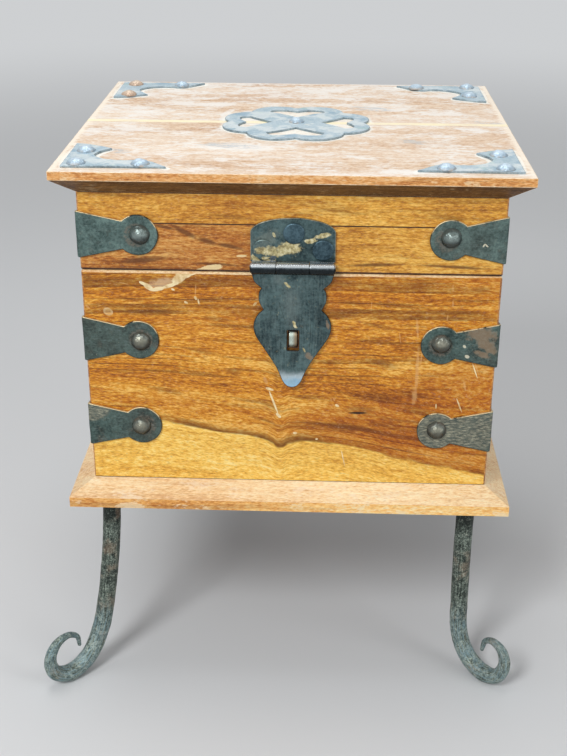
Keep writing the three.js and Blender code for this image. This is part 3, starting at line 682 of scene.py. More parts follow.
def ironHalo(place):  # pale dried wax on the lid along the outlines of its ironwork
    middle = Vector(middleOf("medallion"))
    gaps = []
    for x, y, radius in lobes():
        centre = (Vector((x + middle.x, y + middle.y, lidTop)) * mm)[:]
        gaps.append(minus(vectorCalc("DISTANCE", place, centre, output=1), radius * mm))
    nearest = reduce(smaller, gaps)
    outer = fade(nearest, haloShape["reach"] * mm, 0.0)
    halo = times(outer, fade(nearest, -haloShape["inside"] * mm, 0.0, 0.45, 1.0))
    mirrored = vectorCalc("ABSOLUTE", place)
    corner = boxOf("lid_bracket_rear_right")[1].xy
    places = [corner - p for p in bracketLine()[::5]] + [corner]
    wide = haloShape["stroke"] / 2
    for a, b in zip(places, places[1:]):
        middle = Vector(((a.x + b.x) / 2, (a.y + b.y) / 2, lidTop)) * mm
        turn = (0, 0, math.atan2(b.y - a.y, b.x - a.x))
        size = (((b - a).length / 2 + wide) * mm, wide * mm, haloShape["deep"] * mm)
        halo = larger(halo, fade(oval(mirrored, middle, turn, size), 0.0, 0.35))
    return halo


def boardWood(name, look):
    material, place = newMaterial(name)
    field = woodField(place)
    base = woodColour(field, look["shades"], look["line"], look["lines"], boardGrain["secondStop"])
    torn = grain(place, *boardGrain["torn"])
    centred = minus(torn, 0.5)
    patches = fade(strokes(place, look["patches"], *look["plane"]), 0.0, 0.5)
    rub = timesPlus(patches, boardGrain["patchReach"], grain(place, *boardGrain["rub"]))
    if "margin" in look:
        # paler towards the back of the lid top: a painted glare
        rub = timesPlus(fade(part(place, 1), *boardGrain["rearward"]), boardGrain["rearGlareReach"], rub)
    haze = fade(timesPlus(centred, boardGrain["tornReach"], rub), *look["hazeAt"])
    base = tint(base, haze, look["hazeShare"], look["haze"])
    if "margin" in look:
        base = tint(base, ironHalo(place), fade(torn, *haloShape["torn"]), haloShape["shade"])
        sideways = timesPlus(centred, boardGrain["marginTorn"], unsigned(part(place, 0)))
        margin = fade(sideways, *[(lidBoardHigh.x - width) * mm for width in boardGrain["marginWidth"]])
        base = tint(base, margin, boardGrain["marginShare"], look["margin"])
    if "grey" in look:
        grey = fade(strokes(place, look["grey"], *look["plane"]), 0.0, 0.5)
        grey = times(grey, fade(torn, 0.42, 0.58))
        base = tint(base, grey, boardGrain["greyShare"], boardGrain["greyShade"])
    across = part(place, 1)
    wide, narrow = [width * mm for width in look["seamWidth"]]
    patchy = blots(place, *boardGrain["seamPatches"])
    base = tint(base, fade(unsigned(across), wide, narrow), patchy, look["seam"])
    crack = fade(unsigned(plus(across, wide)), *boardGrain["crack"])
    base = tint(base, crack, minus(1.1, patchy), look["line"])
    rough = timesPlus(haze, boardGrain["hazeDull"], fade(field["streaks"], *boardGrain["rough"]))
    setShader(base, rough, woodHeight(field), gloss=woodGrain["gloss"])
    return material


# Rounded and rubbed edges of the boards, and the dark glued joints; the pale rim at the body's top is partly
# wear and partly a painted highlight, the lid's dark rim above it a painted shadow in the split
edgeWoods = {
    "paleEdgeWood": ("#d39a5c", "#f7dfb2", 0.6),  # dark and light shade, roughness
    "darkEdgeWood": ("#241207", "#5b3418", 0.65),
    "rubbedEdgeWood": ("#cf9c62", "#fbe8c6", 0.5),
    "cornerEdgeWood": ("#8a4f22", "#d39a58", 0.5),
}


edgeGrain = {"rub": ((60, 60, 300), 4.0, 0.6), "fleck": ((500, 900, 900), 2.0)}


def edgeWood(name, dark, light, rough):
    material, place = newMaterial(name)
    rub, fleck = [grain(place, *noiseOf) for noiseOf in edgeGrain.values()]
    mixed = timesPlus(fleck, 0.4, times(rub, 0.6))
    setShader(ramp(mixed, [(0.38, dark), (0.6, light)]), rough, fleck)
    return material


finishes = {name: plainWood(name, look) for name, look in plainWoods.items()}
finishes.update({name: boardWood(name, look) for name, look in boardWoods.items()})
finishes.update({name: edgeWood(name, *look) for name, look in edgeWoods.items()})
finishes["frontWallWood"] = frontWallWood("frontWallWood")
finishes["lowerStripWood"] = lowerStripWood("lowerStripWood")
print("wood finishes made")

# Sheet iron: blued and blackened, with pale specks, rust and rubbed places
ironLooks = {
    "lidStrapIron": {
        "dark": "#3d4f4d", "light": "#728a85", "speck": "#b0b4a2", "rust": "#6a5340",
        "specks": 0.55, "rusty": 0.4, "rough": (0.4, 0.62), "isStrap": True,
    },
    "bodyStrapIron": {
        "dark": "#344341", "light": "#607772", "speck": "#b5b29a", "rust": "#6b5340",
        "specks": 0.8, "rusty": 0.6, "rough": (0.44, 0.66), "isStrap": True,
    },
    # the lid's ironwork: pale blue-grey, a painted reflection of the sky on its upper faces, with white
    # patches
    "bracketIron": {
        "dark": "#a3bcc8", "light": "#c6d6de", "speck": "#f2f4ef", "rust": "#ece9de",
        "specks": 0.6, "rusty": 0.7, "rough": (0.42, 0.6), "metal": 0.25,
        "hazes": [  # each a noise's scale, the levels between which it fades in, its shade and its share
            (36, 0.5, 0.62, "#8faec2", 0.65), (90, 0.55, 0.68, "#a8c9c3", 0.5),
            (60, 0.5, 0.62, "#f3f6f2", 0.5),
        ],
    },
    "rimIron": {
        "dark": "#54574f", "light": "#a9a793", "speck": "#d6cfb4", "rust": "#7a5c3e",
        "specks": 0.5, "rusty": 0.3, "rough": (0.34, 0.5),
    },
    # strap rims: dark as a painted shadow along their edges, and paler along the upper rim, partly wear and
    # partly a painted highlight
    "strapRimIron": {
        "dark": "#23282a", "light": "#4e524b", "speck": "#a9a38c", "rust": "#5a452f",
        "specks": 0.5, "rusty": 0.3, "rough": (0.4, 0.55), "waxed": ("#e3cfa4", 0.85),
    },
    # rims of the hasp's leaf: near black, a painted shadow in the gap between the leaf and the wall
    "darkRimIron": {
        "dark": "#14191b", "light": "#40494b", "speck": "#8d9a97", "rust": "#4c3a28",
        "specks": 0.3, "rusty": 0.3, "rough": (0.4, 0.55),
    },
    # rims of the lid's ironwork: the same painted reflection, darker as painted shade to outline the shapes
    "paleRimIron": {
        "dark": "#6f828c", "light": "#a6b7c0", "speck": "#e6e6dc", "rust": "#b39a80",
        "specks": 0.5, "rusty": 0.15, "rough": (0.38, 0.5), "metal": 0.4,
    },
    "hingeIron": {
        "dark": "#2f3736", "light": "#5b6663", "speck": "#8d958a", "rust": "#6b4529",
        "specks": 0.4, "rusty": 0.5, "rough": (0.42, 0.62),
    },
    "rivetIron": {
        "dark": "#2b3d46", "light": "#56707b", "speck": "#8b979b", "rust": "#6c4c35",
        "specks": 0.4, "rusty": 0.2, "rough": (0.36, 0.55),
    },
    # the staple: its pale greenish-white is a painted highlight on its crown; it turns tan towards one side,
    # partly rust and partly painted shade
    "stapleIron": {
        "dark": "#98a69c", "light": "#cfdbcf", "speck": "#e6e8da", "rust": "#8a5a35",
        "specks": 0.4, "rusty": 0.5, "rough": (0.3, 0.45), "lean": (haspX - 0.5, haspX + 2.2, "#8a7355"),
    },
}
ironGrain = {
    "mottle": (95, 5.0, 0.65),
    "mottleShare": 0.6,
    "fine": (620, 4.0, 0.65),
    "fineShare": 0.45,
    "stops": (0.4, 0.64),
    "speck": (1500, 3.0, 0.6, 0.6, 0.74),
    "sparse": (130, 3.0, 0.55, 0.42, 0.66),
    "rust": (70, 6.0, 0.7, 0.56, 0.72),
    "rustFine": (0.4, 0.6, 0.3, 1.0),
    "spotFine": (0.4, 0.6, 0.1, 0.6),
    "metal": 0.8,
    "rustMetal": 0.1,
    "lift": 0.12,
}
strapSpots = {"reach": 34.7, "radius": 6.4, "outer": 1.3}  # where the nails of the straps are


def ironField(place, look):
    mottle, fine = [grain(place, *ironGrain[name]) for name in ("mottle", "fine")]
    mixed = timesPlus(fine, ironGrain["fineShare"], times(mottle, ironGrain["mottleShare"]))
    base = ramp(mixed, list(zip(ironGrain["stops"], (look["dark"], look["light"]))))
    specks = times(blots(place, *ironGrain["speck"]), blots(place, *ironGrain["sparse"]))
    base = tint(base, specks, look["specks"], look["speck"])
    rust = times(blots(place, *ironGrain["rust"]), fade(fine, *ironGrain["rustFine"]))
    rust = times(rust, look["rusty"])
    if "isStrap" in look:  # rust creeps out from under the nails
        middles = [(side * strapSpots["reach"] * mm, 0, 0) for side in (-1, 1)]
        near = smaller(*[vectorCalc("DISTANCE", flatMap(), middle, output=1) for middle in middles])
        wide = strapSpots["radius"] * mm
        ring = fade(near, wide * strapSpots["outer"], wide)
        rust = larger(rust, times(ring, fade(fine, *ironGrain["spotFine"])))
    return {"base": blend(rust, base, colour(look["rust"])), "rust": rust, "fine": fine, "mottle": mottle}


def cover(field, mask, share, shade):
    field["base"] = tint(field["base"], mask, share, shade)


def coverMarks(field, place, layer, level):
    field["base"], mask = addMarks(field["base"], place, layer, level)
    return mask


def finishIron(field, look, lift=ironGrain["lift"]):
    low, high = look["rough"]
    rough = timesPlus(field["rust"], 0.25, fade(field["fine"], 0.3, 0.7, high, low), clamp=True)
    metal = fade(field["rust"], 0.1, 0.6, look.get("metal", ironGrain["metal"]), ironGrain["rustMetal"])
    height = timesPlus(field["fine"], 0.5, field["mottle"])
    setShader(field["base"], rough, height, metal, lift, 0.6)


def sheetIron(name, look):
    material, place = newMaterial(name)
    field = ironField(place, look)
    for scale, low, high, shade, share in look.get("hazes", ()):
        cover(field, blots(place, scale, 5.0, 0.65, low, high), share, shade)
    if "isStrap" in look:
        addStrapWear(place, field)
    if "lean" in look:  # one side turns tan: partly rust, partly painted shade
        start, end, shade = look["lean"]
        leaning = fade(part(place, 0), start * mm, end * mm, 0.0, 0.85)
        field["base"] = blend(leaning, field["base"], colour(shade))
    if "waxed" in look:  # the upper rims are paler: partly wear, partly a painted highlight
        shade, share = look["waxed"]
        upper = times(fade(part(flatMap(), 1), 0.003, 0.006), fade(field["mottle"], 0.38, 0.5))
        cover(field, upper, share, shade)
    finishIron(field, look)
    return material


strapMarks = {
    "brown": ((14, 2.0, 0.55, 0.4, 0.62), 0.3, "#54524a"),
    "brushed": (((240, 240, 1400), 3.0, 0.6, 0.52, 0.7), 0.25, "#8b9b98"),
    "proud": 1.4,
    "crusty": [(424, 432, 486, 430, 40), (84, 412, 100, 410, 16)],
    "crustDeep": 6,
    "crust": [(0.08, "#414a46"), (0.4, "#6c6c5e"), (0.7, "#878572"), (0.95, "#b0ac96")],
    "crustGrain": ((260, 260, 860), 6.0, 0.75, 0.34, 0.68),
    "crustShare": 0.8,
    "rust": {
        "torn": 1.3, "scale": 260, "soft": 0.5, "share": 0.68, "shade": "#8d755b",
        "marks": [
            (471, 333, 492, 336, 15), (480, 342, 494, 351, 11), (476, 352, 490, 357, 6),
        ],
    },
    "fleck": {
        "torn": 0.8, "scale": 600, "soft": 0.3, "share": 0.8, "shade": "#d6d0b8",
        "marks": [
            (464, 346, 465, 347, 2.4), (466, 356, 468, 357, 3), (483, 247, 485, 244, 1.4),
            (485, 244, 488, 247, 1.4),
        ],
    },
}


def addStrapWear(place, field):
    for noiseOf, share, shade in (strapMarks["brown"], strapMarks["brushed"]):
        cover(field, blots(place, *noiseOf), share, shade)
    level = -halfDepth - strapMarks["proud"]
    crusty = fade(strokes(place, strapMarks["crusty"], 1, level, strapMarks["crustDeep"]), 0.0, 0.3)
    crust = ramp(blots(place, *strapMarks["crustGrain"]), strapMarks["crust"])
    field["base"] = blend(times(crusty, strapMarks["crustShare"]), field["base"], crust)
    worn = larger(*[coverMarks(field, place, strapMarks[mark], level) for mark in ("rust", "fleck")])
    field["rust"] = larger(larger(field["rust"], times(crusty, 0.5)), worn)


# Nail heads: a crown partly rubbed bright and partly a painted highlight, rust round the foot, painted shade
# below. The flat map gives height up the dome.
nailLooks = {  # shades of foot, side, crown and rust, how smooth it is and how much of a metal
    "strapNailIron": ("#535f5c", "#5f6c69", "#93a19d", "#40372e", 0.26, 0.55),
    "wornNailIron": ("#555951", "#626760", "#939282", "#5a4838", 0.26, 0.55),
    # nails on the lid: pale and bluish, a painted reflection like that of the lid's ironwork
    "lidNailIron": ("#8799a6", "#b0c6d6", "#d6e7f4", "#c0b09e", 0.36, 0.45),
    "rustyNailIron": ("#b09a88", "#d0b8a2", "#e4d3c0", "#a58a74", 0.36, 0.45),
}
nailGrain = {
    "fine": (750, 4.0, 0.65), "blotch": (210, 4.0, 0.6), "hammered": (330, 1.0, 0.4), "rustShare": 0.65,
    "paintedShadeFacing": (0.3, -0.4, 0.0, 0.72), "grime": "#1d2224",
}


def nailIron(name, foot, side, crown, rust, smooth, metal):
    material, place = newMaterial(name)
    fine, blotch, hammered = [grain(place, *nailGrain[name]) for name in ("fine", "blotch", "hammered")]
    height = timesPlus(minus(fine, 0.5), 0.5, part(flatMap(), 0))
    base = ramp(height, [(0.05, foot), (0.6, side), (1.0, crown)])
    rusty = times(fade(height, 0.7, 0.1), fade(blotch, 0.42, 0.6))
    base = tint(base, rusty, nailGrain["rustShare"], rust)
    # the under sides are painted dark, as shade, by the way the surface faces
    facing = part(addNode("TexCoord").outputs["Normal"], 2)
    base = blend(fade(facing, *nailGrain["paintedShadeFacing"]), base, colour(nailGrain["grime"]))
    rough = fade(blotch, 0.35, 0.65, smooth, smooth + 0.18)
    setShader(base, rough, timesPlus(hammered, 4.0, fine), fade(rusty, 0.1, 0.7, metal, 0.1), 0.3, 0.8)
    return material


# The hasp: a darker blue-green plate with a smear of old glue, and a leaf whose turned-out tip is partly
# rubbed bright and partly a painted reflection
haspLook = {
    "dark": "#2b3b3f", "light": "#5c7374", "speck": "#98a49f", "rust": "#70513a",
    "specks": 0.35, "rusty": 0.22, "rough": (0.36, 0.58),
}
# the turned-out tip: a bright band over a blue one, partly rubbed iron and partly a painted reflection
haspTip = {
    "pixel": (290, 372), "wander": 0.01, "shades": ("#c6d4da", "#97bbd2"), "share": 0.86,
    "brightAt": (0.003, -0.003), "blueAt": (-0.001, -0.006),
    "brushed": ((900, 900, 70), 4.0, 0.6, 0.4, 0.7), "brushedShade": "#7f918f", "brushedShare": 0.3,
}
haspMarks = {
    "worn": {
        "torn": 0.9, "scale": (120, 120, 30), "soft": 0.8, "depth": 6, "share": 0.28, "shade": "#87908c",
        "marks": [(291, 284, 292, 326, 22), (276, 276, 282, 282, 10)],
    },
    "dark": {
        "torn": 0.8, "scale": 160, "soft": 0.7, "depth": 6, "share": 0.4, "shade": "#1d2629",
        "marks": [(298, 343, 292, 366, 9), (322, 300, 318, 330, 10)],
    },
    "rust": {
        "torn": 1.0, "scale": 420, "soft": 0.4, "share": 0.7, "shade": "#8a7258",
        "marks": [(305, 353, 312, 358, 6), (255, 292, 257, 298, 3), (326, 318, 329, 330, 3)],
    },
    "scratch": {
        "torn": 0.4, "scale": 400, "soft": 0.3, "share": 0.5, "shade": "#12191c",
        "marks": [
            (310, 318, 311, 345, 0.7), (276, 292, 288, 330, 0.6), (268, 300, 272, 320, 0.6),
        ],
    },
    "fleck": {
        "torn": 1.0, "scale": 520, "soft": 0.3,
        "marks": [(285, 282, 290, 287, 3), (293, 321, 296, 327, 3), (303, 347, 305, 351, 2)],
    },
    "glue": {
        "torn": 1.0, "scale": 520, "soft": 0.3,
        "marks": [
            (257, 250, 267, 250, 7), (266, 250, 277, 253, 9), (262, 258, 274, 259, 5),
            (252, 257, 258, 260, 5), (279, 253, 284, 250, 7), (282, 248, 297, 248, 10),
            (305, 242, 316, 240, 4), (315, 238, 331, 234, 4), (273, 233, 275, 237, 2),
        ],
    },
    "film": {
        "torn": 1.4, "scale": 400, "soft": 0.6, "share": 0.3, "shade": "#a3aca0",
        "marks": [(258, 243, 274, 236, 14)],
    },
}
glueShades = [(0.34, "#85764c"), (0.5, "#c0b27e"), (0.62, "#e0d6ac")]
glueShare = 0.85


def haspIron(name, level, hasTip):
    material, place = newMaterial(name)
    field = ironField(place, haspLook)
    if hasTip:
        top = photoPoint(haspTip["pixel"], 1, level).z * mm
        wavy = timesPlus(minus(field["mottle"], 0.5), haspTip["wander"], part(place, 2))
        bright, blue = [fade(wavy, *[top + above for above in haspTip[at]]) for at in ("brightAt", "blueAt")]
        shade = blend(blue, *[colour(shade) for shade in haspTip["shades"]])
        field["base"] = blend(times(bright, haspTip["share"]), field["base"], shade)
        cover(field, blots(place, *haspTip["brushed"]), haspTip["brushedShare"], haspTip["brushedShade"])
        for mark in ("worn", "dark", "rust", "scratch"):
            mask = coverMarks(field, place, haspMarks[mark], level)
            field["rust"] = larger(field["rust"], mask) if mark == "rust" else field["rust"]
    glue = markMask(place, haspMarks["fleck" if hasTip else "glue"], level)
    cream = ramp(grain(place, 420, 3.0), glueShades)
    field["base"] = blend(times(glue, glueShare), field["base"], cream)
    if not hasTip:
        coverMarks(field, place, haspMarks["film"], level)
    field["rust"] = larger(field["rust"], glue)
    finishIron(field, haspLook)
    return material


# Barrels: polished by use, with a painted highlight along the upper side and painted shade over the under
# side
barrelLook = {
    "dark": "#3a4449", "light": "#6f7b81", "speck": "#d5d8d2", "rust": "#5d4a3a",
    "specks": 0.2, "rusty": 0.25, "rough": (0.2, 0.3), "lift": 0.015,
    # a painted highlight band: its colour, height above the pin, width and share; then painted shade on the
    # lower part
    "highlight": "#eef4f6", "highlightAt": 2.8, "highlightWide": 1.8, "highlightShare": 0.8,
    "grime": "#14191b", "paintedShadeShare": 0.92, "paintedShadeAt": (0.0018, 0.0002),
}


def barrelIron(name, level):
    material, place = newMaterial(name)
    field = ironField(place, barrelLook)
    wavy = timesPlus(minus(field["fine"], 0.5), 0.0005, part(place, 2))
    # a pale band painted just above the pin as a highlight, and the lower part painted dark as shade
    gap = unsigned(minus(wavy, (level + barrelLook["highlightAt"]) * mm))
    highlight = fade(gap, barrelLook["highlightWide"] * mm, 0.0)
    cover(field, highlight, barrelLook["highlightShare"], barrelLook["highlight"])
    grime = fade(wavy, *[level * mm + above for above in barrelLook["paintedShadeAt"]])
    cover(field, grime, barrelLook["paintedShadeShare"], barrelLook["grime"])
    finishIron(field, barrelLook, barrelLook["lift"])
    return material


# Forged legs: scaly, mottled grey-brown with pale specks and rust; painted shade at the top under the base;
# paler lower down as a painted sheen, and bluer at the scrolls, partly bare steel and partly a painted sheen
legLook = {
    "stops": [(0.05, "#2a312d"), (0.35, "#5a645c"), (0.62, "#849085"), (0.95, "#c2ccc0")],
    "span": (0.41, 0.7),
    "scales": 480.0,
    "drawn": (1.0, 4.0, 0.6),
    "drawnScale": (90, 900, 0),
    "mottle": (300, 6.0, 0.75),
    "fine": (1100, 4.0, 0.7),
    "mix": {"drawn": 0.26, "mottle": 0.4, "fine": 0.38},
    "sheenBelow": (0.07, 0.02, 0.0, 0.06),
    "shadeUnderBase": (0.105, 0.132, 0.0, -0.09),
    "rust": ((75, 5.0, 0.65, 0.52, 0.68), 0.5, "#775a40"),
    "steelAndSheenBelow": (0.06, 0.03),
    "steel": (0.6, "#7493a0"),
    "dustGrain": (800, 3.0, 0.55, 0.58, 0.68),
    "dust": (0.55, "#bfc4b4"),
}


def forgedIron(name):
    material, place = newMaterial(name)
    scale = addNode("TexVoronoi", {"Vector": place, "Scale": legLook["scales"]}, feature="F1")
    drawn = grain(vectorCalc("MULTIPLY", flatMap(), legLook["drawnScale"]), *legLook["drawn"])
    mottle, fine = [grain(place, *legLook[name]) for name in ("mottle", "fine")]
    mix = legLook["mix"]
    mixed = timesPlus(fine, mix["fine"], timesPlus(mottle, mix["mottle"], times(drawn, mix["drawn"])))
    upright = part(place, 2)
    # painted shade at the top under the base, and a painted sheen lower down
    tone = plus(fade(upright, *legLook["sheenBelow"]), fade(upright, *legLook["shadeUnderBase"]))
    base = ramp(fade(plus(mixed, tone), *legLook["span"]), legLook["stops"])
    rustGrain, rustShare, rustShade = legLook["rust"]
    rust = blots(place, *rustGrain)
    base = tint(base, rust, rustShare, rustShade)
    # bluer streaks lower down: partly bare steel, partly a painted sheen
    steel = times(fade(upright, *legLook["steelAndSheenBelow"]), fade(drawn, 0.4, 0.6))
    base = tint(base, steel, *legLook["steel"])
    dust = times(blots(place, *legLook["dustGrain"]), fade(mottle, 0.46, 0.58))
    base = tint(base, dust, *legLook["dust"])
    height = timesPlus(scale.outputs["Distance"], -0.2, timesPlus(fine, 0.35, mottle))
    height = timesPlus(drawn, 0.6, height)
    metal = fade(larger(rust, dust), 0.1, 0.8, 0.6, 0.05)
    setShader(base, fade(fine, 0.3, 0.7, 0.72, 0.5), height, metal, 0.5, 0.8)
    return material


finishes.update({name: sheetIron(name, look) for name, look in ironLooks.items()})
finishes.update({name: nailIron(name, *look) for name, look in nailLooks.items()})
finishes["haspPlateIron"] = haspIron("haspPlateIron", -haspFace, False)
finishes["haspLeafIron"] = haspIron("haspLeafIron", -haspFace, True)
finishes["haspBarrelIron"] = barrelIron("haspBarrelIron", pinHeight)
finishes["hingeBarrelIron"] = barrelIron("hingeBarrelIron", splitHeight)
finishes["forgedIron"] = forgedIron("forgedIron")
print("iron finishes made")


# Making meshes, in millimetres until a piece is finished
sheetCell = 6  # sheets are cut this fine, so that they can bend a little
warpScale = 0.09
dentScale = 0.32


def plate(outline, thickness, rim, holes=(), cell=None, seed=0.0, warp=0.0):
    # A flat plate from z = 0 to its thickness, with rounded rims. Slot 0 is its faces, slot 1 its rims.
    curve = bpy.data.curves.new("plate", "CURVE")
    curve.dimensions = "2D"
    curve.fill_mode = "BOTH"
    curve.extrude = thickness / 2 - rim
    curve.bevel_depth = rim
    curve.bevel_resolution = 2
    curve.offset = -rim
    for ring in (outline, *holes):
        line = curve.splines.new("POLY")
        line.points.add(len(ring) - 1)
        for point, (x, y) in zip(line.points, ring):
            point.co = (x, y, 0, 1)
        line.use_cyclic_u = True
    holder = bpy.data.objects.new("plate", curve)
    mesh = bpy.data.meshes.new_from_object(holder)
    bpy.data.objects.remove(holder)
    bpy.data.curves.remove(curve)
    made = bmesh.new()
    made.from_mesh(mesh)
    bpy.data.meshes.remove(mesh)
    bmesh.ops.remove_doubles(made, verts=made.verts, dist=0.001)
    bmesh.ops.dissolve_degenerate(made, edges=made.edges, dist=0.001)
    bmesh.ops.translate(made, verts=made.verts, vec=(0, 0, thickness / 2))
    if cell:
        for axis in (0, 1):
            values = [v.co[axis] for v in made.verts]
            count = int((max(values) - min(values)) / cell)
            for i in range(1, count + 1):
                cutAlong(made, axis, min(values) + cell * (i - 0.5))
    made.normal_update()
    for face in made.faces:
        face.material_index = 0 if abs(face.normal.z) > 0.99 else 1
    flat = made.loops.layers.uv.new("flat")
    for face in made.faces:
        for loop in face.loops:
            loop[flat].uv = loop.vert.co.xy * mm
    if warp:
        for v in made.verts:
            v.co.z += warp * noise.noise(Vector((v.co.x * warpScale, v.co.y * warpScale, seed)))
    return made


def cutAlong(made, axis, place):
    normal = Vector((0, 0, 0))
    normal[axis] = 1
    bmesh.ops.bisect_plane(made, geom=made.verts[:] + made.edges[:] + made.faces[:], plane_co=normal * place,
                           plane_no=normal, dist=0.0005)


def lathe(profile, sides, seed=0.0, dent=0.0):  # profile from the foot up to the axis, as (radius, height)
    made = bmesh.new()
    flat = made.loops.layers.uv.new("flat")
    rings = []
    for radius, height in profile:
        if radius == 0:
            rings.append([made.verts.new((0, 0, height))])
            continue
        ring = []
        for point in arc((0, 0), radius, 0, 360 * (sides - 1) / sides, sides - 1):
            ring.append(made.verts.new((point.x, point.y, height)))
        rings.append(ring)
    for low, high in zip(rings, rings[1:]):
        for i in range(sides):
            places = ((low, i), (low, i + 1), (high, i + 1), (high, i))
            corners = [ring[place % len(ring)] for ring, place in places]
            corners = [c for n, c in enumerate(corners) if c not in corners[:n]]
            made.faces.new(corners)
    bottom = min(height for _, height in profile)
    span = max(height for _, height in profile) - bottom
    for face in made.faces:
        for loop in face.loops:
            loop[flat].uv = ((loop.vert.co.z - bottom) / span, 0.5)
    for v in made.verts:
        if dent and v.co.z > 0:
            v.co += v.co.normalized() * dent * noise.noise(v.co * dentScale + Vector((seed, seed, 0)))
    return made


def setSlot(made, slot):
    for face in made.faces:
        face.material_index = slot
    return made


nailShape = {"lip": 0.35, "foot": 0.5, "bendShare": 0.97, "steps": 9, "sides": 32, "dent": 0.35}


def domedNail(radius, rise, seed, slot=2):
    lip, steps = nailShape["lip"], nailShape["steps"]
    curve = (radius * radius + (rise - lip) ** 2) / (2 * (rise - lip))
    sweep = math.asin(min(1, radius * nailShape["bendShare"] / curve))
    profile = [(radius, -nailShape["foot"]), (radius, lip * 0.5)]
    for i in range(steps):
        angle = sweep * (1 - i / steps)
        profile.append((curve * math.sin(angle), rise - curve * (1 - math.cos(angle))))
    profile.append((0, rise))
    return setSlot(lathe(profile, nailShape["sides"], seed, nailShape["dent"]), slot)


def gather(parts):  # joins (bmesh, matrix) pairs into one mesh; a mirrored part is turned the right way out
    whole = bpy.data.meshes.new("whole")
    joined = bmesh.new()
    joined.loops.layers.uv.new("flat")
    for made, matrix in parts:
        made.transform(matrix)
        if matrix.determinant() < 0:
            bmesh.ops.reverse_faces(made, faces=made.faces)
        made.to_mesh(whole)
        made.free()
        joined.from_mesh(whole)
        whole.clear_geometry()
    joined.to_mesh(whole)
    joined.free()
    return whole


def frameOf(across, up, out, origin):
    columns = [Vector(across), Vector(up), Vector(out)]
    turn = Matrix(columns).transposed().to_4x4()
    turn.translation = Vector(origin)
    return turn


def onFront(x, y, z):  # with its face to the front and its top up
    return frameOf((1, 0, 0), (0, 0, 1), (0, -1, 0), (x, y, z))


def standFor(node, mesh, looks, sharp):
    words = node.split("_")
    name = words[0] + "".join(word.capitalize() for word in words[1:])
    mesh.transform(Matrix.Scale(mm, 4))
    mesh.name = name
    piece = bpy.data.objects.new(name, mesh)
    bpy.context.scene.collection.objects.link(piece)
    for look in looks:
        mesh.materials.append(finishes[look])
    mesh.shade_smooth()
    mesh.set_sharp_from_angle(angle=math.radians(sharp))
    steady = piece.modifiers.new("steady", "WEIGHTED_NORMAL")
    steady.keep_sharp = True
    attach(piece, frame["nodes"][node]["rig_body"])
    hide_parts(node)


def addPiece(node, parts, looks, sharp=40):
    standFor(node, gather(parts), looks, sharp)


# Boards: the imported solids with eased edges, cut fine enough to be a little uneven
boardShape = {
    "cell": 9, "ease": 1.5, "openShare": 0.67, "jointShare": 0.27, "uneven": 0.16, "dent": 0.35,
    "rubScale": 0.05, "nickScale": 0.13, "nickAbove": 0.45, "shiftStep": 31, "sharp": 50,
}


def board(node, looks, easeAt, shift):
    made = bmesh.new()
    made.from_mesh(frame["nodes"][node].data)
    made.transform(Matrix.Scale(1 / mm, 4))
    bmesh.ops.remove_doubles(made, verts=made.verts, dist=0.01)
    bmesh.ops.dissolve_limit(made, angle_limit=math.radians(1), verts=made.verts, edges=made.edges)
    low, high = boxOf(node)
    for axis in range(3):
        count = max(1, round((high[axis] - low[axis]) / boardShape["cell"]))
        for i in range(1, count):
            cutAlong(made, axis, low[axis] + (high[axis] - low[axis]) * i / count)
    weight = made.edges.layers.float.new("bevel_weight_edge")
    for line in made.edges:
        if line.is_manifold and line.calc_face_angle() > math.radians(20):
            middle = (line.verts[0].co + line.verts[1].co) / 2
            line[weight] = easeAt(middle)
    mesh = bpy.data.meshes.new(node)
    made.to_mesh(mesh)
    made.free()
    holder = bpy.data.objects.new("board", mesh)
    bpy.context.scene.collection.objects.link(holder)
    ease = holder.modifiers.new("ease", "BEVEL")
    ease.width = boardShape["ease"]
    ease.segments = 3
    ease.limit_method = "WEIGHT"
    ease.material = 1
    ease.use_clamp_overlap = True
    for look in looks[:2]:
        mesh.materials.append(finishes[look])
    solid = bpy.data.meshes.new_from_object(holder.evaluated_get(bpy.context.evaluated_depsgraph_get()))
    bpy.data.objects.remove(holder)
    bpy.data.meshes.remove(mesh)
    slots = [polygon.material_index for polygon in solid.polygons]
    solid.materials.clear()
    solid.polygons.foreach_set("material_index", slots)
    middle = (low + high) / 2
    for v in solid.vertices:
        p = v.co + Vector((shift * boardShape["shiftStep"], 0, 0))
        outward = (v.co - middle).normalized()
        rub = noise.noise(p * boardShape["rubScale"]) * boardShape["uneven"]
        nick = max(0, noise.noise(p * boardShape["nickScale"]) - boardShape["nickAbove"]) * boardShape["dent"]
        v.co += outward * (rub * 0.5 - nick)
    field = solid.attributes.new("boardShift", "FLOAT", "POINT")
    field.data.foreach_set("value", [shift] * len(solid.vertices))
    return solid


def atCorner(p, reach=0.05):
    return abs(abs(p.x) - halfWidth) < reach and abs(abs(p.y) - halfDepth) < reach


def wallEase(p):  # the rims that meet when the lid is down are rounded most, glued joints least
    if abs(p.z - splitHeight) < 0.05:
        return 1.0
    return boardShape["openShare"] if atCorner(p) else boardShape["jointShare"]


def boardEase(p):  # all edges but those of the glued seam along the middle are open
    return boardShape["openShare"] if abs(p.y) > 1 else boardShape["jointShare"]


def addWall(node, face, shift, rim):
    looks = (face, rim, "cornerEdgeWood", "darkEdgeWood")
    solid = board(node, looks, wallEase, shift)
    for polygon in solid.polygons:
        if polygon.material_index == 1:
            isRim = abs(polygon.center.z - splitHeight) < boardShape["ease"]
            polygon.material_index = 1 if isRim else 2 if atCorner(polygon.center, 1.5) else 3
    standFor(node, solid, looks, boardShape["sharp"])


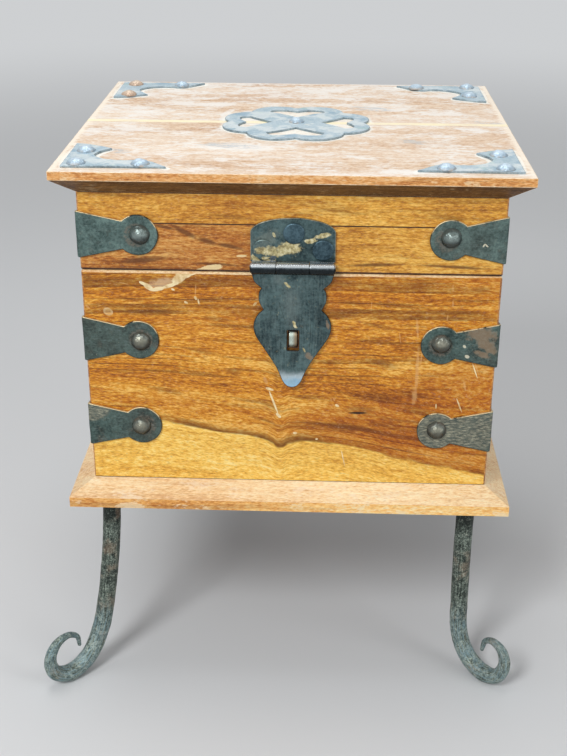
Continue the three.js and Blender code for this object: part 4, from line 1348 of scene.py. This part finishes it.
def addBoard(node, face, upright, shift):
    looks = (face, "rubbedEdgeWood", upright, "undersideWood")
    solid = board(node, looks, boardEase, shift)
    for polygon in solid.polygons:
        if polygon.material_index == 0 and polygon.normal.z < 0.3:
            polygon.material_index = 3 if polygon.normal.z < -0.3 else 2
    standFor(node, solid, looks, boardShape["sharp"])


for i, side in enumerate(("front", "back", "left", "right")):
    isEnd = side in ("left", "right")
    faces = ["endWallWood"] * 3 if isEnd else ["bodyWallWood", "lowerStripWood", "upperStripWood"]
    addWall(f"body_{side}", "frontWallWood" if side == "front" else faces[0], 1 + i, "paleEdgeWood")
    addWall(f"lid_lower_strip_{side}", faces[1], 7 + i, "darkEdgeWood")
    addWall(f"lid_upper_strip_{side}", faces[2], 13 + i, "darkEdgeWood")
for i, side in enumerate(("front", "rear")):
    addBoard(f"lid_board_{side}", "lidTopWood", "lidEdgeWood", 24 + 3 * i)
    addBoard(f"base_board_{side}", "baseWood", "plinthEdgeWood", 25 + 3 * i)
print("boards made")

# Corner straps
strap = {
    "sheet": 1.4, "rim": 0.45, "root": 29, "neck": 17.8, "reach": 34.7, "disc": 12.6,
    "nailRadius": 6.2, "nailRise": 4.2, "bend": 0.6, "wobble": 0.3, "warp": 0.25,
    "asSeen": {  # in front: the arm's lack of reach, and how far its nail is to the right and up
        "strap_lid_front_left": (-0.7, 1.6, 0.5), "strap_lid_front_right": (2.3, 0, 1.4),
        "strap_upper_front_left": (1.1, 1.1, -0.6), "strap_upper_front_right": (0.4, 0.1, 0.9),
        "strap_lower_front_left": (1.5, -0.6, -0.4), "strap_lower_front_right": (0.9, 0, 0.8),
    },
}


def strapArmLine(reach):  # half the outline of an arm, from the corner's lower end round the disc
    disc = strap["disc"]
    neck = math.degrees(math.asin(strap["neck"] / 2 / disc))
    return [Vector((0, -strap["root"] / 2)), *arc((reach, 0), disc, neck - 180, 180 - neck, 44),
            Vector((0, strap["root"] / 2))]


waviness = 0.12


def roughen(points, amount, seed):  # an outline cut by hand
    rough = []
    for p in points:
        sway = noise.noise_vector(Vector((p.x * waviness, p.y * waviness, seed)))
        rough.append(p + Vector((sway.x, sway.y)) * amount)
    return rough


def bendRound(made, sideX, sideY, height):  # wraps the flat strap round its corner of the chest
    inner = strap["bend"]
    half = inner * math.pi / 4
    middle = Vector((sideX * (halfWidth - inner), sideY * (halfDepth - inner)))
    faces = {1: Vector((0, sideY)), -1: Vector((sideX, 0))}
    runs = {1: Vector((-sideX, 0)), -1: Vector((0, -sideY))}
    for v in made.verts:
        along, up, out = v.co
        side = 1 if along >= 0 else -1
        turn = min(abs(along), half) / inner
        lean = math.pi / 4 - turn
        outward = faces[side] * math.cos(lean) + faces[-side] * math.sin(lean)
        place = middle + outward * (inner + out) + runs[side] * max(0, abs(along) - half)
        v.co = Vector((place.x, place.y, height + up))


def addStrap(node, seed):
    sideX, sideY = sidesOf(node)
    height = middleOf(node)[2]
    half = strap["bend"] * math.pi / 4
    saved = strap["bend"] - half
    shorter, aside, above = strap["asSeen"].get(node, (0, 0, 0))
    reach = strap["reach"] - shorter
    front = strapArmLine(reach - saved)
    side = [Vector((-p.x, -p.y)) for p in strapArmLine(strap["reach"] - saved)]
    outline = roughen([*front[1:], *side[1:]], strap["wobble"], seed)
    made = plate(outline, strap["sheet"], strap["rim"], cell=sheetCell, seed=seed, warp=strap["warp"])
    for i in range(-2, 3):
        cutAlong(made, 0, half * i / 2)
    bendRound(made, sideX, sideY, height)
    faceX, faceY = sideX * (halfWidth + strap["sheet"]), sideY * (halfDepth + strap["sheet"])
    seatA = (sideX * (halfWidth - reach) + aside, faceY, height + above)
    seatB = (faceX, sideY * (halfDepth - strap["reach"]), height)
    nailA, nailB = [domedNail(strap["nailRadius"], strap["nailRise"], seed + more) for more in (0, 5)]
    mesh = gather([
        (made, Matrix.Identity(4)),
        (nailA, frameOf((1, 0, 0), (0, 0, 1), (0, sideY, 0), seatA)),
        (nailB, frameOf((0, 1, 0), (0, 0, 1), (sideX, 0, 0), seatB)),
    ])
    if sideX * sideY > 0:
        mesh.flip_normals()
    sheet, nail = ("lidStrapIron", "strapNailIron") if "_lid_" in node else ("bodyStrapIron", "wornNailIron")
    standFor(node, mesh, (sheet, "strapRimIron", nail), 40)


seed = 0
seedStep = 3.7
for level in ("lid", "upper", "lower"):
    for corner in cornerNames:
        seed += seedStep
        addStrap(f"strap_{level}_{corner}", seed)
print("straps made")

# Corner brackets on the lid
def addBracket(node, seed):
    sideX, sideY = sidesOf(node)
    low, high = boxOf(node)
    corner = (high.x if sideX > 0 else low.x, high.y if sideY > 0 else low.y, lidTop)
    outline = roughen([Vector((0, 0)), *bracketLine()], bracket["wobble"], seed)
    made = plate(outline, bracket["sheet"], bracket["rim"], cell=sheetCell, seed=seed, warp=bracket["warp"])
    turn = frameOf((-sideX, 0, 0), (0, -sideY, 0), (0, 0, 1), corner)
    parts = [(made, turn)]
    for i, (x, y) in enumerate(bracket["nails"][node]):
        seat = turn @ Vector((x * bracket["long"], y * bracket["short"], bracket["sheet"]))
        isTan = sideX < 0 < sideY and i != 1
        nail = domedNail(bracket["nailRadius"], bracket["nailRise"], seed + 2 * i, 3 if isTan else 2)
        parts.append((nail, Matrix.Translation(seat)))
    addPiece(node, parts, ("bracketIron", "paleRimIron", "lidNailIron", "rustyNailIron"))


for corner in cornerNames:
    seed += seedStep
    addBracket(f"lid_bracket_{corner}", seed)

# Medallion on the lid: eight lobes and four heart-shaped openings
def bezier(points, steps):
    line = []
    for i in range(1, steps + 1):
        level = [Vector(p) for p in points]
        while len(level) > 1:
            level = [a.lerp(b, i / steps) for a, b in zip(level, level[1:])]
        line.append(level[0])
    return line


def heart(tip, notch, shoulder, half, turn):
    middle = tip + (notch - tip) * 0.55
    line = bezier([(tip, 0), (middle, -half * 0.55), (shoulder - half / 2, -half)], 8)
    line += bezier([(shoulder - half / 2, -half), (shoulder, -half), (shoulder, -half / 2), (notch, 0)], 10)
    line += bezier([(notch, 0), (shoulder, half / 2), (shoulder, half), (shoulder - half / 2, half)], 10)
    line += bezier([(shoulder - half / 2, half), (middle, half * 0.55), (tip, 0)], 8)
    rotate = Matrix.Rotation(math.radians(turn), 2)
    return [rotate @ p for p in reversed(line)]


def lobedOutline():
    circles = lobes()
    corners = []
    for (ax, ay, ar), (bx, by, br) in zip(circles, circles[1:] + circles[:1]):
        a = Vector((ax, ay))
        apart = Vector((bx, by)) - a
        along = (apart.length_squared + ar * ar - br * br) / (2 * apart.length)
        aside = math.sqrt(ar * ar - along * along)
        apart.normalize()
        corners.append(a + apart * along + Vector((apart.y, -apart.x)) * aside)
    outline = []
    for i, (x, y, radius) in enumerate(circles):
        start = math.degrees(math.atan2(corners[i - 1].y - y, corners[i - 1].x - x))
        end = math.degrees(math.atan2(corners[i].y - y, corners[i].x - x))
        end += 360 if end < start else 0
        outline += arc((x, y), radius, start, end, 18)[1:]
    return outline


def addMedallion():
    x, y, _ = middleOf("medallion")
    hearts = ("sideHeart", "endHeart", "sideHeart", "endHeart")
    holes = [heart(*medallion[name], 90 * i) for i, name in enumerate(hearts)]
    sheet, rim, seed, warp = [medallion[name] for name in ("sheet", "rim", "seed", "warp")]
    made = plate(lobedOutline(), sheet, rim, holes, sheetCell, seed, warp)
    addPiece("medallion", [(made, Matrix.Translation((x, y, lidTop)))], ("bracketIron", "paleRimIron"))
    nail = domedNail(medallion["nailRadius"], medallion["nailRise"], medallion["nailSeed"], 0)
    seat = Matrix.Translation((x, y, lidTop + sheet))
    addPiece("medallion_nail", [(nail, seat)], ("lidNailIron",))


addMedallion()
print("lid ironwork made")

# Rolled knuckles and pins, for the hasp in front and the hinges behind
roll = {
    "radius": 3.9, "sheet": 1.4, "standoff": 0.3, "rim": 0.25, "gap": 0.4, "end": 128, "endInset": 0.7,
    "tuck": 0.85, "pin": 2.2, "head": 3, "headStart": 0.5, "pinSides": 28,
    "headLine": [(1, 0), (1, 0.4), (0.75, 0.8), (0, 0.95)],  # shares of its radius, heights
}
rivet = {"foot": 0.3, "sides": 36, "line": [(1, 0.45), (0.95, 0.8), (0.86, 1), (0, 1)]}


def rolledEdge(above):  # section of a sheet that comes from above or below and curls round the pin
    out = roll["radius"] + roll["standoff"]
    middle = roll["radius"] - roll["sheet"] / 2
    lift = roll["sheet"] / 2
    start = (lift, roll["radius"] + 3), (lift, roll["radius"]), (out - middle - 0.1, 1.2)
    line = [Vector(p) for p in start] + arc((out, 0), middle, 180, 360 + roll["end"], 44)
    left, right = [], []
    for before, p, after in zip([line[0], *line], line, [*line[1:], line[-1]]):
        heading = (after - before).normalized()
        side = Vector((heading.y, -heading.x)) * lift
        left.append(p + side)
        right.append(p - side)
    outline = left + right[::-1]
    if not above:
        outline = [Vector((p.x, -p.y)) for p in outline]
    return outline


def knuckle(fromX, toX, wall, pin, above):
    # The section's first axis points out of the wall, which faces -Y for the hasp and +Y for the hinges.
    made = plate(rolledEdge(above), toX - fromX, roll["rim"])
    bmesh.ops.recalc_face_normals(made, faces=made.faces)
    side = 1 if wall > 0 else -1
    return setSlot(made, 2), frameOf((0, side, 0), (0, 0, 1), (1, 0, 0), (fromX, wall, pin))


def turnedPin(length, centreX, y, z):
    reach = length / 2 - roll["headStart"]
    half = [(roll["pin"], reach), *[(roll["head"] * wide, reach + up) for wide, up in roll["headLine"]]]
    profile = [(radius, -height) for radius, height in reversed(half)] + half
    return lathe(profile, roll["pinSides"]), frameOf((0, 1, 0), (0, 0, 1), (1, 0, 0), (centreX, y, z))


def flatRivet(radius, rise, slot):
    profile = [(radius, -rivet["foot"]), *[(radius * wide, rise * up) for wide, up in rivet["line"]]]
    return setSlot(lathe(profile, rivet["sides"]), slot)


def roundedBox(width, height, corner, steps, middle=(0, 0)):
    line = []
    for turn, (x, y) in zip((0, 90, 180, 270), ((1, 1), (-1, 1), (-1, -1), (1, -1))):
        centre = (middle[0] + x * (width / 2 - corner), middle[1] + y * (height / 2 - corner))
        line += arc(centre, corner, turn, turn + 90, steps)
    return line


# The hasp
hasp = {
    "width": 51, "side": 21.3, "arch": 9.2, "middle": 19.6, "rim": 0.35, "standoff": 1.2, "length": 78.3,
    "turnOut": 13, "turnOutRise": 3, "rivetRise": 1.1,
    "plateSeed": 2.2, "plateWobble": 0.15, "plateWarp": 0.12, "plateCell": 5,
    "leafSeed": 6.1, "leafWobble": 0.12, "leafWarp": 0.16, "leafCell": 4,
    "tongue": (-8, -3.2), "tongueRim": 0.2,
    "ear": [(0.975, 0.055), (0.91, 0.12), (0.74, 0.174)],  # shares of half the width and of the length
    "waist": [(0.74, 0.174), (0.8, 0.21), (0.8, 0.285), (0.695, 0.352)],
    "blade": [
        (0.695, 0.352), (0.83, 0.395), (0.925, 0.46), (0.925, 0.53), (0.85, 0.595), (0.655, 0.696),
        (0.42, 0.82), (0.3, 0.9), (0.225, 0.955), (0.12, 0.99), (0, 1),
    ],
    "slotSize": (7.4, 13.8), "slotMiddle": (0.5, -47.7), "slotCorner": 0.8,
}


def plateLine(width, side, arch):  # its lower edge tucks in behind the barrel
    half = width / 2
    foot = roll["radius"] - roll["tuck"]
    line = [Vector((-half, foot)), Vector((half, foot))]
    if arch:
        return line + arc((0, side), half, 0, 180, 48, arch)
    return line + [Vector((half, side)), Vector((-half, side))]


def addHaspPlate():
    half = hasp["width"] / 2
    inner = hasp["middle"] / 2 + roll["gap"]
    cell, seed, warp = hasp["plateCell"], hasp["plateSeed"], hasp["plateWarp"]
    outline = roughen(plateLine(hasp["width"], hasp["side"], hasp["arch"]), hasp["plateWobble"], seed)
    made = plate(outline, roll["sheet"], hasp["rim"], (), cell, seed, warp)
    parts = [(made, onFront(haspX, -halfDepth, pinHeight))]
    half -= roll["endInset"]
    for start, end in ((haspX - half, haspX - inner), (haspX + inner, haspX + half)):
        parts.append(knuckle(start, end, -halfDepth, pinHeight, True))
    addPiece("hasp_plate", parts, ("haspPlateIron", "rimIron", "haspBarrelIron"))
    for name, look in (("top", "rivetIron"), ("left", "haspPlateIron"), ("right", "rivetIron")):
        node = f"hasp_rivet_{name}"
        low, high = boxOf(node)
        x, _, z = middleOf(node)
        head = flatRivet((high.x - low.x) / 2, hasp["rivetRise"], 0)
        addPiece(node, [(head, onFront(x, -halfDepth - roll["sheet"], z))], (look,))


def leafLine():
    half = hasp["width"] / 2
    top = -roll["radius"] - roll["gap"]
    left = [Vector((-hasp["ear"][0][0] * half, top))]
    for name, steps in (("ear", 7), ("waist", 7), ("blade", 6)):
        left += smoothLine([(-x * half, -y * hasp["length"]) for x, y in hasp[name]], steps)[1:]
    right = [Vector((-p.x, p.y)) for p in reversed(left[:-1])]
    return left + right


def addHaspLeaf():
    slot = roundedBox(*hasp["slotSize"], hasp["slotCorner"], 5, hasp["slotMiddle"])[::-1]
    cell, seed, warp = hasp["leafCell"], hasp["leafSeed"], hasp["leafWarp"]
    outline = roughen(leafLine(), hasp["leafWobble"], seed)
    made = plate(outline, roll["sheet"], hasp["rim"], [slot], cell, seed, warp)
    start = hasp["turnOut"] - hasp["length"]
    for i in range(12):
        cutAlong(made, 1, start - i)
    for v in made.verts:
        past = max(0, start - v.co.y) / hasp["turnOut"]
        v.co.z += hasp["turnOutRise"] * past * past
    half = hasp["middle"] / 2
    low, high = hasp["tongue"]
    tongue = [Vector(p) for p in ((-half, low), (half, low), (half, high), (-half, high))]
    turn = onFront(haspX, -halfDepth - hasp["standoff"], pinHeight)
    addPiece("hasp_leaf", [
        (made, turn),
        knuckle(haspX - half, haspX + half, -halfDepth, pinHeight, False),
        (plate(tongue, roll["sheet"], hasp["tongueRim"]), turn),
    ], ("haspLeafIron", "darkRimIron", "haspBarrelIron"))
    pin = turnedPin(hasp["width"], haspX, haspPinY, pinHeight)
    addPiece("hasp_pin", [pin], ("haspBarrelIron",))


# The staple: a low bridge of flat strip with two prongs through the wall, clinched inside
staple = {"proud": 2.3, "gauge": 1.2, "clinch": 4, "wall": 12, "rim": 0.25}


def addStaple():
    low, high = boxOf("hasp_staple")
    clinch, gauge, proud = staple["clinch"], staple["gauge"], staple["proud"]
    half = (high.z - low.z) / 2 - clinch

    def bridge(proud, reach):
        radius = (reach * reach + proud * proud) / (2 * proud)
        sweep = math.degrees(math.asin(reach / radius))
        return arc((proud - radius, 0), radius, -sweep, sweep, 22)

    near = -staple["wall"]
    far = near - gauge
    line = [
        (near, -half), *bridge(proud, half), (near, half), (near, half + clinch), (far, half + clinch),
        (far, half - gauge), *bridge(proud - gauge, half - gauge)[::-1], (far, gauge - half),
        (far, -half - clinch), (near, -half - clinch),
    ]
    made = plate([Vector(p) for p in line], high.x - low.x, staple["rim"])
    turn = frameOf((0, -1, 0), (0, 0, 1), (1, 0, 0), (low.x, -halfDepth, middleOf("hasp_staple")[2]))
    addPiece("hasp_staple", [(made, turn)], ("stapleIron", "stapleIron"))


addHaspPlate()
addHaspLeaf()
addStaple()
print("hasp made")

# Hinges on the back
hinge = {
    "width": 40, "leaf": 27, "middle": 15, "rim": 0.35, "rivetSpread": 12, "rivetHeight": 16.5,
    "rivetRadius": 4, "rivetRise": 1.1,
}


def addHingeLeaf(node, centreX, above):
    sign = 1 if above else -1
    turn = frameOf((1, 0, 0), (0, 0, sign), (0, 1, 0), (centreX, halfDepth, splitHeight))
    outline = plateLine(hinge["width"], hinge["leaf"], 0)
    parts = [(plate(outline, roll["sheet"], hinge["rim"], cell=sheetCell, seed=centreX), turn)]
    half = hinge["width"] / 2
    tongue = hinge["middle"] / 2
    inner = tongue + roll["gap"]
    for start, end in [(-tongue, tongue)] if above else [(-half, -inner), (inner, half)]:
        parts.append(knuckle(centreX + start, centreX + end, halfDepth, splitHeight, above))
    for side in (-1, 1):
        seat = turn @ Vector((side * hinge["rivetSpread"], hinge["rivetHeight"], roll["sheet"]))
        head = flatRivet(hinge["rivetRadius"], hinge["rivetRise"], 3)
        parts.append((head, frameOf((1, 0, 0), (0, 0, 1), (0, 1, 0), seat)))
    addPiece(node, parts, ("hingeIron", "rimIron", "hingeBarrelIron", "rivetIron"))


for side in ("left", "right"):
    centreX, centreY, _ = middleOf(f"hinge_pin_{side}")
    addHingeLeaf(f"hinge_body_leaf_{side}", centreX, False)
    addHingeLeaf(f"hinge_lid_leaf_{side}", centreX, True)
    pin = turnedPin(hinge["width"], centreX, centreY, splitHeight)
    addPiece(f"hinge_pin_{side}", [pin], ("hingeBarrelIron",))
print("hinges made")

# Legs: a tapering forged rod with a scroll, as places out, up and thick, in shares of the leg's sizes
leg = {
    "height": 137.5, "radius": 6, "plate": 3, "flat": 0.45, "sides": 20, "steps": 12, "hammered": 0.24,
    "ringGap": 1.4, "tip": (0.45, 0.8, 0.96),
    "wide": {
        "reach": 57.5, "rise": 31, "shank": [(0, 0.86), (0.035, 0.69), (0.09, 0.53)],
        "curl": [
            (0.158, 1.48, 1), (0.255, 0.82, 1), (0.46, 0.21, 1), (0.73, 0, 1), (0.945, 0.19, 0.86),
            (1, 0.56, 0.7), (0.905, 0.9, 0.52), (0.74, 1, 0.38), (0.61, 0.86, 0.29), (0.585, 0.62, 0.22),
        ],
    },
    "tight": {
        "reach": 43, "rise": 29.5, "shank": [(0, 0.86), (0, 0.69), (0.01, 0.53)],
        "curl": [
            (0.02, 1.55, 1), (0.045, 0.92, 1), (0.17, 0.4, 1), (0.4, 0.09, 1), (0.62, 0, 1),
            (0.87, 0.12, 0.86), (1, 0.53, 0.7), (0.93, 0.88, 0.55), (0.75, 1, 0.42), (0.6, 0.9, 0.32),
            (0.55, 0.63, 0.24),
        ],
    },
}


def legStations(style):
    places = [(0, leg["height"] - leg["plate"], leg["radius"])]
    places += [(out * style["reach"], up * leg["height"], leg["radius"]) for out, up in style["shank"]]
    foot = leg["radius"] - leg["flat"]
    for out, up, thick in style["curl"]:
        places.append((out * style["reach"], foot + up * style["rise"], thick * leg["radius"]))
    return places


def scrollRod(style, seed):
    places = legStations(style)
    line = smoothLine([(out, up) for out, up, _ in places], leg["steps"], 0.5)
    made = bmesh.new()
    rings = []
    for i, centre in enumerate(line):
        station = min(i // leg["steps"], len(places) - 2)
        share = i / leg["steps"] - station
        radius = places[station][2] * (1 - share) + places[station + 1][2] * share
        heading = (line[min(i + 1, len(line) - 1)] - line[max(i - 1, 0)]).normalized()
        if i == 0:
            heading = Vector((0, -1))
        side = Vector((-heading.y, heading.x))
        rings.append(rodRing(made, centre, side, radius, seed))
    end = line[-1]
    heading = (line[-1] - line[-2]).normalized()
    side = Vector((-heading.y, heading.x))
    tip = places[-1][2]
    for share in leg["tip"]:
        radius = tip * math.sqrt(1 - share * share)
        rings.append(rodRing(made, end + heading * tip * share, side, radius, seed))
    flat = made.loops.layers.uv.new("flat")
    for n, (low, high) in enumerate(zip(rings, rings[1:])):
        for i in range(leg["sides"]):
            j = (i + 1) % leg["sides"]
            face = made.faces.new((low[i], low[j], high[j], high[i]))
            for loop, (along, around) in zip(face.loops, ((n, i), (n, i + 1), (n + 1, i + 1), (n + 1, i))):
                folded = abs(around - leg["sides"] / 2) / leg["sides"]
                loop[flat].uv = Vector((along * leg["ringGap"], folded * 2 * math.pi * leg["radius"])) * mm
    made.faces.new(rings[0][::-1])
    made.faces.new(rings[-1])
    bmesh.ops.recalc_face_normals(made, faces=made.faces)
    return made


def rodRing(made, centre, side, radius, seed):
    ring = []
    for i in range(leg["sides"]):
        angle = 2 * math.pi * (i + 0.5) / leg["sides"]
        outward = Vector((side.x * math.cos(angle), side.y * math.cos(angle), math.sin(angle)))
        place = Vector((centre.x, centre.y, 0)) + outward * radius
        beat = noise.noise(place * 0.11 + Vector((seed, 0, 0))) + 0.5 * noise.noise(place * 0.32)
        place += outward * leg["hammered"] * beat * min(1, radius / leg["radius"])
        place.y = max(place.y, 0)
        ring.append(made.verts.new(place))
    return ring


def addLeg(node, seed):
    x, y, _ = middleOf(node.replace("leg_", "leg_plate_"))
    sideX, sideY = sidesOf(node)
    style = leg["wide"] if sideX * sideY > 0 else leg["tight"]
    diagonal = math.sqrt(0.5)
    outward = (sideX * diagonal, sideY * diagonal, 0)
    across = (sideY * diagonal, -sideX * diagonal, 0)
    turn = frameOf(outward, (0, 0, 1), across, (x, y, 0))
    addPiece(node, [(scrollRod(style, seed), turn)], ("forgedIron",), 60)


legPlate = {
    "size": 36, "corner": 2.5, "rim": 0.5, "warp": 0.1,
    "screwInset": 6.5, "screwRadius": 3.4, "screwSides": 24,
    "screwLine": [(1, -0.4), (1, 0.5), (0.86, 1.15), (0.5, 1.6), (0, 1.6)],
    "slotWidth": 0.9, "slotDeep": 0.7, "slotAbove": 0.9,
}


def screwHead(slot):  # a round head with a sawn slot
    profile = [(legPlate["screwRadius"] * wide, up) for wide, up in legPlate["screwLine"]]
    made = lathe(profile, legPlate["screwSides"])
    half = legPlate["slotWidth"] / 2
    for place in (-half, half):
        cutAlong(made, 1, place)
    for v in made.verts:
        if abs(v.co.y) < half - 0.001 and v.co.z > legPlate["slotAbove"]:
            v.co.z -= legPlate["slotDeep"]
    return setSlot(made, slot)


def addLegPlate(node, seed):
    x, y, _ = middleOf(node)
    size = legPlate["size"]
    outline = roundedBox(size, size, legPlate["corner"], 6)
    made = plate(outline, leg["plate"], legPlate["rim"], cell=sheetCell, seed=seed, warp=legPlate["warp"])
    down = frameOf((1, 0, 0), (0, -1, 0), (0, 0, -1), (x, y, boxOf(node)[1].z))
    parts = [(made, down)]
    reach = size / 2 - legPlate["screwInset"]
    for x in (-reach, reach):
        for y in (-reach, reach):
            spin = Matrix.Rotation(seed + x * 0.9 + y * 0.37, 4, "Z")
            parts.append((screwHead(1), down @ Matrix.Translation((x, y, leg["plate"])) @ spin))
    addPiece(node, parts, ("forgedIron", "rivetIron"))


for corner in cornerNames:
    seed += seedStep
    addLeg(f"leg_{corner}", seed)
    addLegPlate(f"leg_plate_{corner}", seed)
print("legs made")

# Studio: a pale floor, soft lamps and the photograph's viewpoint
studio = {
    "floorSize": 30,
    "floorFade": (0.9, 2.6),
    "floorShade": "#d6d8da",
    "backShade": "#dcdee0",
    "backStrength": 0.86,
    "fillStrength": 0.38,
    "lamps": {
        "overhead": ((-0.15, 0.1, 1.75), (0, 0, 0.25), 1.0, 7.5),
        "front": ((-0.7, -1.35, 1.4), (0, 0, 0.22), 0.6, 19),
        "side": ((1.3, -0.9, 0.9), (0, 0, 0.22), 0.8, 5),
    },
}


def floorPaper():  # pale paper that runs into the backdrop far out, and can't be seen from below
    material, place = newMaterial("floorPaper")
    feed(begun["shader"], {"Base Color": colour(studio["floorShade"]), "Roughness": 0.85})
    backShade = {"Color": colour(studio["backShade"]), "Strength": studio["backStrength"]}
    glow = addNode("Emission", backShade).outputs[0]
    far = fade(vectorCalc("LENGTH", place, output=1), *studio["floorFade"])
    faded = addNode("MixShader", {0: far, 1: begun["shader"].outputs[0], 2: glow}).outputs[0]
    under = addNode("NewGeometry").outputs["Backfacing"]
    clear = addNode("BsdfTransparent").outputs[0]
    seen = addNode("MixShader", {0: under, 1: faded, 2: clear}).outputs[0]
    feed(material.node_tree.nodes["Material Output"], {"Surface": seen})
    return material


def addStudio():
    mesh = bpy.data.meshes.new("floor")
    half = studio["floorSize"] / 2
    corners = [(-half, -half, 0), (half, -half, 0), (half, half, 0), (-half, half, 0)]
    mesh.from_pydata(corners, [], [(0, 1, 2, 3)])
    floor = bpy.data.objects.new("floor", mesh)
    bpy.context.scene.collection.objects.link(floor)
    mesh.materials.append(floorPaper())

    world = bpy.data.worlds.new("studio")
    bpy.context.scene.world = world
    world.use_nodes = True
    begun["tree"] = world.node_tree
    begun["tree"].nodes.clear()
    rays = addNode("LightPath").outputs
    seen = reduce(larger, [rays[f"Is {kind} Ray"] for kind in ("Camera", "Glossy", "Transmission")])
    fill = addNode("Background", {"Color": (1, 1, 1, 1), "Strength": studio["fillStrength"]})
    back = addNode("Background", {"Color": colour(studio["backShade"]), "Strength": studio["backStrength"]})
    mixed = addNode("MixShader", {0: seen, 1: fill.outputs[0], 2: back.outputs[0]})
    addNode("OutputWorld", {"Surface": mixed.outputs[0]})

    for name, (place, aim, size, power) in studio["lamps"].items():
        lamp = bpy.data.lights.new(name, "AREA")
        lamp.shape = "DISK"
        lamp.size = size
        lamp.energy = power
        holder = bpy.data.objects.new(name, lamp)
        holder.location = place
        holder.rotation_euler = (Vector(aim) - Vector(place)).to_track_quat("-Z", "Y").to_euler()
        bpy.context.scene.collection.objects.link(holder)


def addCamera():
    lens = bpy.data.cameras.new("viewpoint")
    lens.sensor_fit = "VERTICAL"
    lens.sensor_height = photo["sensor"]
    lens.lens = photo["focalPixels"] / photo["size"][1] * photo["sensor"]
    lens.clip_end = 100
    viewer = bpy.data.objects.new("viewpoint", lens)
    viewer.matrix_world = Matrix.Translation(viewPlace * mm) @ viewTurn.to_4x4()
    bpy.context.scene.collection.objects.link(viewer)
    bpy.context.scene.camera = viewer


addStudio()
addCamera()
bpy.context.scene.view_settings.view_transform = "Standard"
print("studio made")
